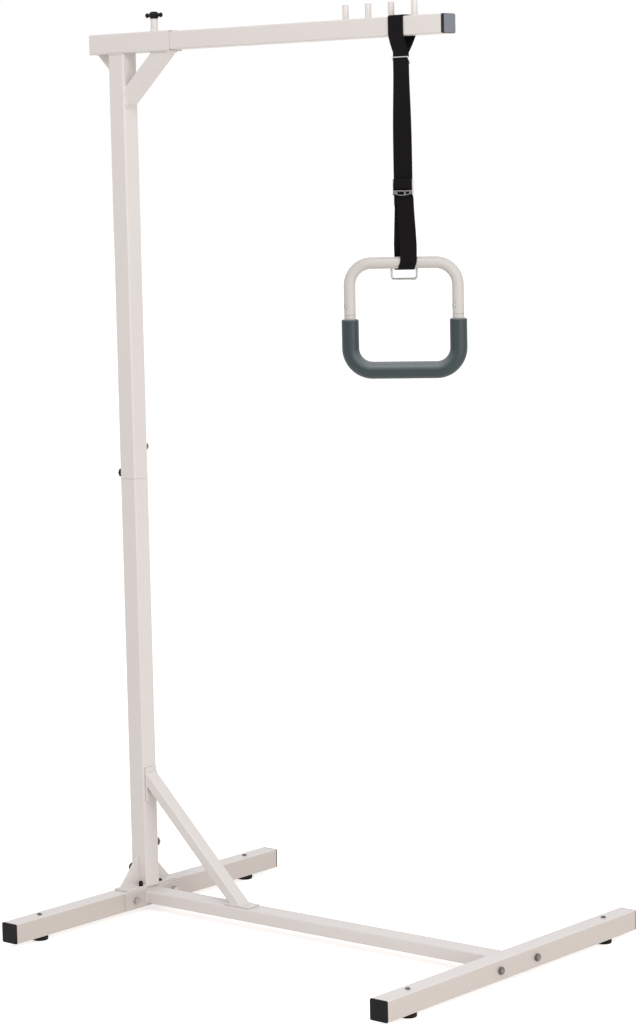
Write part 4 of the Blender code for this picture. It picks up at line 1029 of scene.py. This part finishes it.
def show_adjuster():
    form = Form(ADJUSTER_FRAME)
    form.stack("Z", (0.0, 0.0), eased(frame_plan, BUCKLE_LOW, BUCKLE_TOP, 0.00025))
    bar, at = rounded(2 * BAR_HALF, BAR_TALL, 0.0009, 4), (BAR_V, BAR_TOP - BAR_TALL / 2)
    form.stack("X", at, [(bar, -CHEEK_IN - 0.0008), (bar, CHEEK_IN + 0.0008)])
    for way in (-1, 1):
        form.disc("X", at, way * (CHEEK_OUT - 0.0004), way * (CHEEK_OUT + 0.0003), 0.0017, 0.0002, 20)
    show("buckle_frame", form)

    form = Form(ADJUSTER_FRAME)
    form.disc("X", (PIN_V, PIN_RISE), -CHEEK_OUT - 0.0003, CHEEK_OUT + 0.0003, 0.0010, 0.0002, 20)
    show("cam_pin", form)
    show_cam_lever()

    form = Form(RING_FRAME)
    outline = wire_outline(0.0475, 0.0325, 0.005)
    points = [Vector((across, EYE_V, EYE_RISE - down)) for across, down in outline]
    form.cable(points, [0.0024] * len(points), 18, loop=True)
    show("hanging_ring", form, GREY_STEEL)


def show_cam_lever():
    """A pressed plate below the pin: a rail at the pin, a sagging lip, and openings between them."""
    reach = 0.0174
    form = Form(ADJUSTER_FRAME)
    form.disc("X", (PIN_V, PIN_RISE), -reach, reach, 0.0018, 0.0002, 24)
    face = PIN_V - 0.0021
    spots = even_steps(-1.0, 1.0, 28)
    rail = [Vector((share * reach, face, PIN_RISE + 0.0004)) for share in spots]
    form.cable(rail, [0.0010] * len(rail), 14)
    lip = []
    for share in spots:
        sag = 0.0040 * (1 - share * share)
        lip.append(Vector((share * (reach - 0.0002), face - 0.0004, BUCKLE_LOW + 0.0040 - sag)))
    form.cable(lip, [0.0009] * len(lip), 14)
    for first, last in ((0, 6), (16, 19), (24, 28)):
        web = [lip[first], lip[last]] + [Vector((lip[i].x, face, PIN_RISE)) for i in (last, first)]
        form.skin([[point + ACROSS * side * 0.0005 for point in web] for side in (-1, 1)])
    show("cam_lever", form, DARK_STEEL)


# Handle

HANDLE_HALF, HANDLE_BEND, HANDLE_LOW = 0.10225, 0.042, -0.2005
HANDLE_BORE = HANDLE_TUBE - 0.0018
SEAM = -0.0962


def u_points(bar, legs, way):
    """Along a U: its bar's height, the legs' heights from the open end, and which way the bar lies."""
    turns = []
    for side, start, end in ((-1, math.pi, math.pi / 2), (1, math.pi / 2, 0.0)):
        for a in even_steps(start, end, 14):
            x = side * (HANDLE_HALF - HANDLE_BEND) + HANDLE_BEND * math.cos(a)
            turns.append((x, bar - way * HANDLE_BEND + way * HANDLE_BEND * math.sin(a)))
    return [(-HANDLE_HALF, z) for z in legs] + turns + [(HANDLE_HALF, z) for z in legs[::-1]]


def show_bent_tube(node, bar, way, ends, radius, inner, look=None, sides=36):
    """A U in the handle's plane. ends are heights and radii on each leg, from its open end."""
    spots = [Vector((x, 0.0, z)) for x, z in u_points(bar, [z for z, _ in ends], way)]
    radii = [radius] * len(spots)
    for i, (_, narrower) in enumerate(ends):
        radii[i] = radii[-1 - i] = narrower
    last = len(spots) - 1
    rings = []
    for i, reach in [*enumerate(radii)] + [(i, inner) for i in range(last, -1, -1)]:
        before, after = spots[max(i - 1, 0)], spots[min(i + 1, last)]
        out = (after - before).normalized().cross(ACROSS)
        rings.append([spots[i] + out * p + ACROSS * q for p, q in circle(reach, sides)])
    form = Form(HANDLE_FRAME)
    form.skin(rings, loop=True)
    show(node, form, look)


def show_handle():
    tube, inserted = HANDLE_TUBE, HANDLE_BORE - GAP
    ends = [(SEAM, tube - 0.0004), (SEAM + 0.0002, tube - 0.0001), (SEAM + 0.0008, tube)]
    show_bent_tube("handle_upper_tube", 0.0, 1, ends, tube, HANDLE_BORE, HANDLE_COAT_PAINTED_SHADE)
    ends = [(SEAM + 0.022, inserted), (SEAM - 0.0003, inserted), (SEAM - 0.00031, tube - 0.0004),
            (SEAM - 0.0005, tube - 0.0001), (SEAM - 0.0012, tube)]
    show_bent_tube("handle_lower_tube", HANDLE_LOW, -1, ends, tube, inserted - 0.0018, HANDLE_COAT_PAINTED_SHADE)
    start, grip = -0.1045, 0.0162
    ends = [(start, 0.0126), (start - 0.00005, 0.0141), (start - 0.0004, 0.0150), (start - 0.0010, 0.0157),
            (start - 0.0020, 0.0161), (start - 0.0034, grip)]
    show_bent_tube("handle_grip", HANDLE_LOW, -1, ends, grip, tube + GAP, sides=48)
    show_handle_screw("left", -1)
    show_handle_screw("right", 1)


def show_handle_screw(side, hand):
    """On the near side of its leg, through the walls of both tubes."""
    seat, end = -HANDLE_TUBE - GAP, -0.55 * HANDLE_TUBE
    turn = Matrix.Rotation(math.radians(52.0), 4, "Z")
    form = Form(HANDLE_FRAME @ Matrix.Translation((hand * HANDLE_HALF, 0.0, SEAM + 0.0165)) @ turn)
    head = [(0.0019, seat - end), (0.0019, 0.0), (0.0037, 0.0), (0.0038, 0.0003), (0.0037, 0.0010),
            (0.0032, 0.0017), (0.0025, 0.0021), (0.0018, 0.0022), (0.0016, 0.0021), (0.0014, 0.0012),
            (0.0001, 0.0011)]
    form.lathe("X", (0.0, 0.0), head, 28, seat, -1)
    show(f"handle_screw_{side}", form, GREY_STEEL)


# Stage

FOCAL, PICTURE_HEIGHT, SENSOR = 2926.68, 1024, 36.0      # pixels, pixels, mm
YAW, PITCH, ROLL = 0.69473, -0.11322, -0.02153
CAMERA = Vector((4.08856 + COLUMN_X, -4.32082, 1.49222))


def add_camera():
    forward = Vector((-math.sin(YAW) * math.cos(PITCH), math.cos(YAW) * math.cos(PITCH), math.sin(PITCH)))
    level = forward.cross(UP).normalized()
    upright = level.cross(forward)
    right = math.cos(ROLL) * level + math.sin(ROLL) * upright
    up = -math.sin(ROLL) * level + math.cos(ROLL) * upright
    data = bpy.data.cameras.new("camera")
    data.lens = SENSOR * FOCAL / PICTURE_HEIGHT
    data.sensor_width = SENSOR
    data.clip_start, data.clip_end = 0.1, 100.0
    camera = add_object("camera", data)
    place = Matrix((right, up, -forward)).transposed().to_4x4()
    place.translation = CAMERA
    camera.matrix_world = place
    bpy.context.scene.camera = camera


def add_lamp(name, place, target, size, power):
    data = bpy.data.lights.new(name, "AREA")
    data.shape = "DISK"
    data.size = size
    data.energy = power
    lamp = add_object(name, data)
    lamp.location = place
    lamp.rotation_mode = "QUATERNION"
    lamp.rotation_quaternion = (Vector(target) - Vector(place)).to_track_quat("-Z", "Y")


def seen_share(look):
    """1 for what the camera sees, directly or in a mirror or glass, and 0 for light on the object."""
    rays = look.add("ShaderNodeLightPath")
    first = look.math("MAXIMUM", rays.outputs["Is Camera Ray"], rays.outputs["Is Glossy Ray"])
    return look.math("MAXIMUM", first, rays.outputs["Is Transmission Ray"])


def add_world(shown, cast):
    """White where it is seen, and a dimmer even light on everything else."""
    world = bpy.data.worlds.new("studio")
    bpy.context.scene.world = world
    look = Look(world, "Background")
    strength = look.math("MULTIPLY_ADD", seen_share(look), shown - cast, cast)
    look.shade("Color", (1.0, 1.0, 1.0, 1.0))
    look.shade("Strength", strength)


def add_floor(lift):
    """A white floor that keeps the shadows; lift is what brings it up to the white of the background."""
    mesh = bpy.data.meshes.new("floor")
    bm = bmesh.new()
    bmesh.ops.create_grid(bm, x_segments=1, y_segments=1, size=60.0)
    bm.to_mesh(mesh)
    bm.free()
    floor = add_object("floor", mesh)
    look = new_look("floor", 0.9)
    look.shade("Base Color", (0.88, 0.84, 0.81, 1.0))
    look.shade("Specular IOR Level", 0.0)
    look.shade("Emission Color", (1.0, 1.0, 1.0, 1.0))
    look.shade("Emission Strength", look.math("MULTIPLY", seen_share(look), lift))
    mesh.materials.append(look.owner)


show_base()
show_column()
show_diagonal_brace()
show_knee_brace()
show_rear_gusset()
show_sleeve()
show_clamp_screw()
show_locking_knob()
show_arm()
show_arm_loop()
show_webs()
show_keeper()
show_handle_loop()
show_adjuster()
show_handle()

bpy.context.scene.view_settings.view_transform = "Standard"
add_camera()
add_world(shown=1.0, cast=0.64)
add_floor(lift=0.62)
add_lamp("key", (1.0, -2.4, 4.6), (-0.1, 0.0, 0.9), 1.5, 56.0)
add_lamp("side", (3.4, -0.9, 1.7), (-0.2, 0.0, 0.9), 3.0, 44.0)
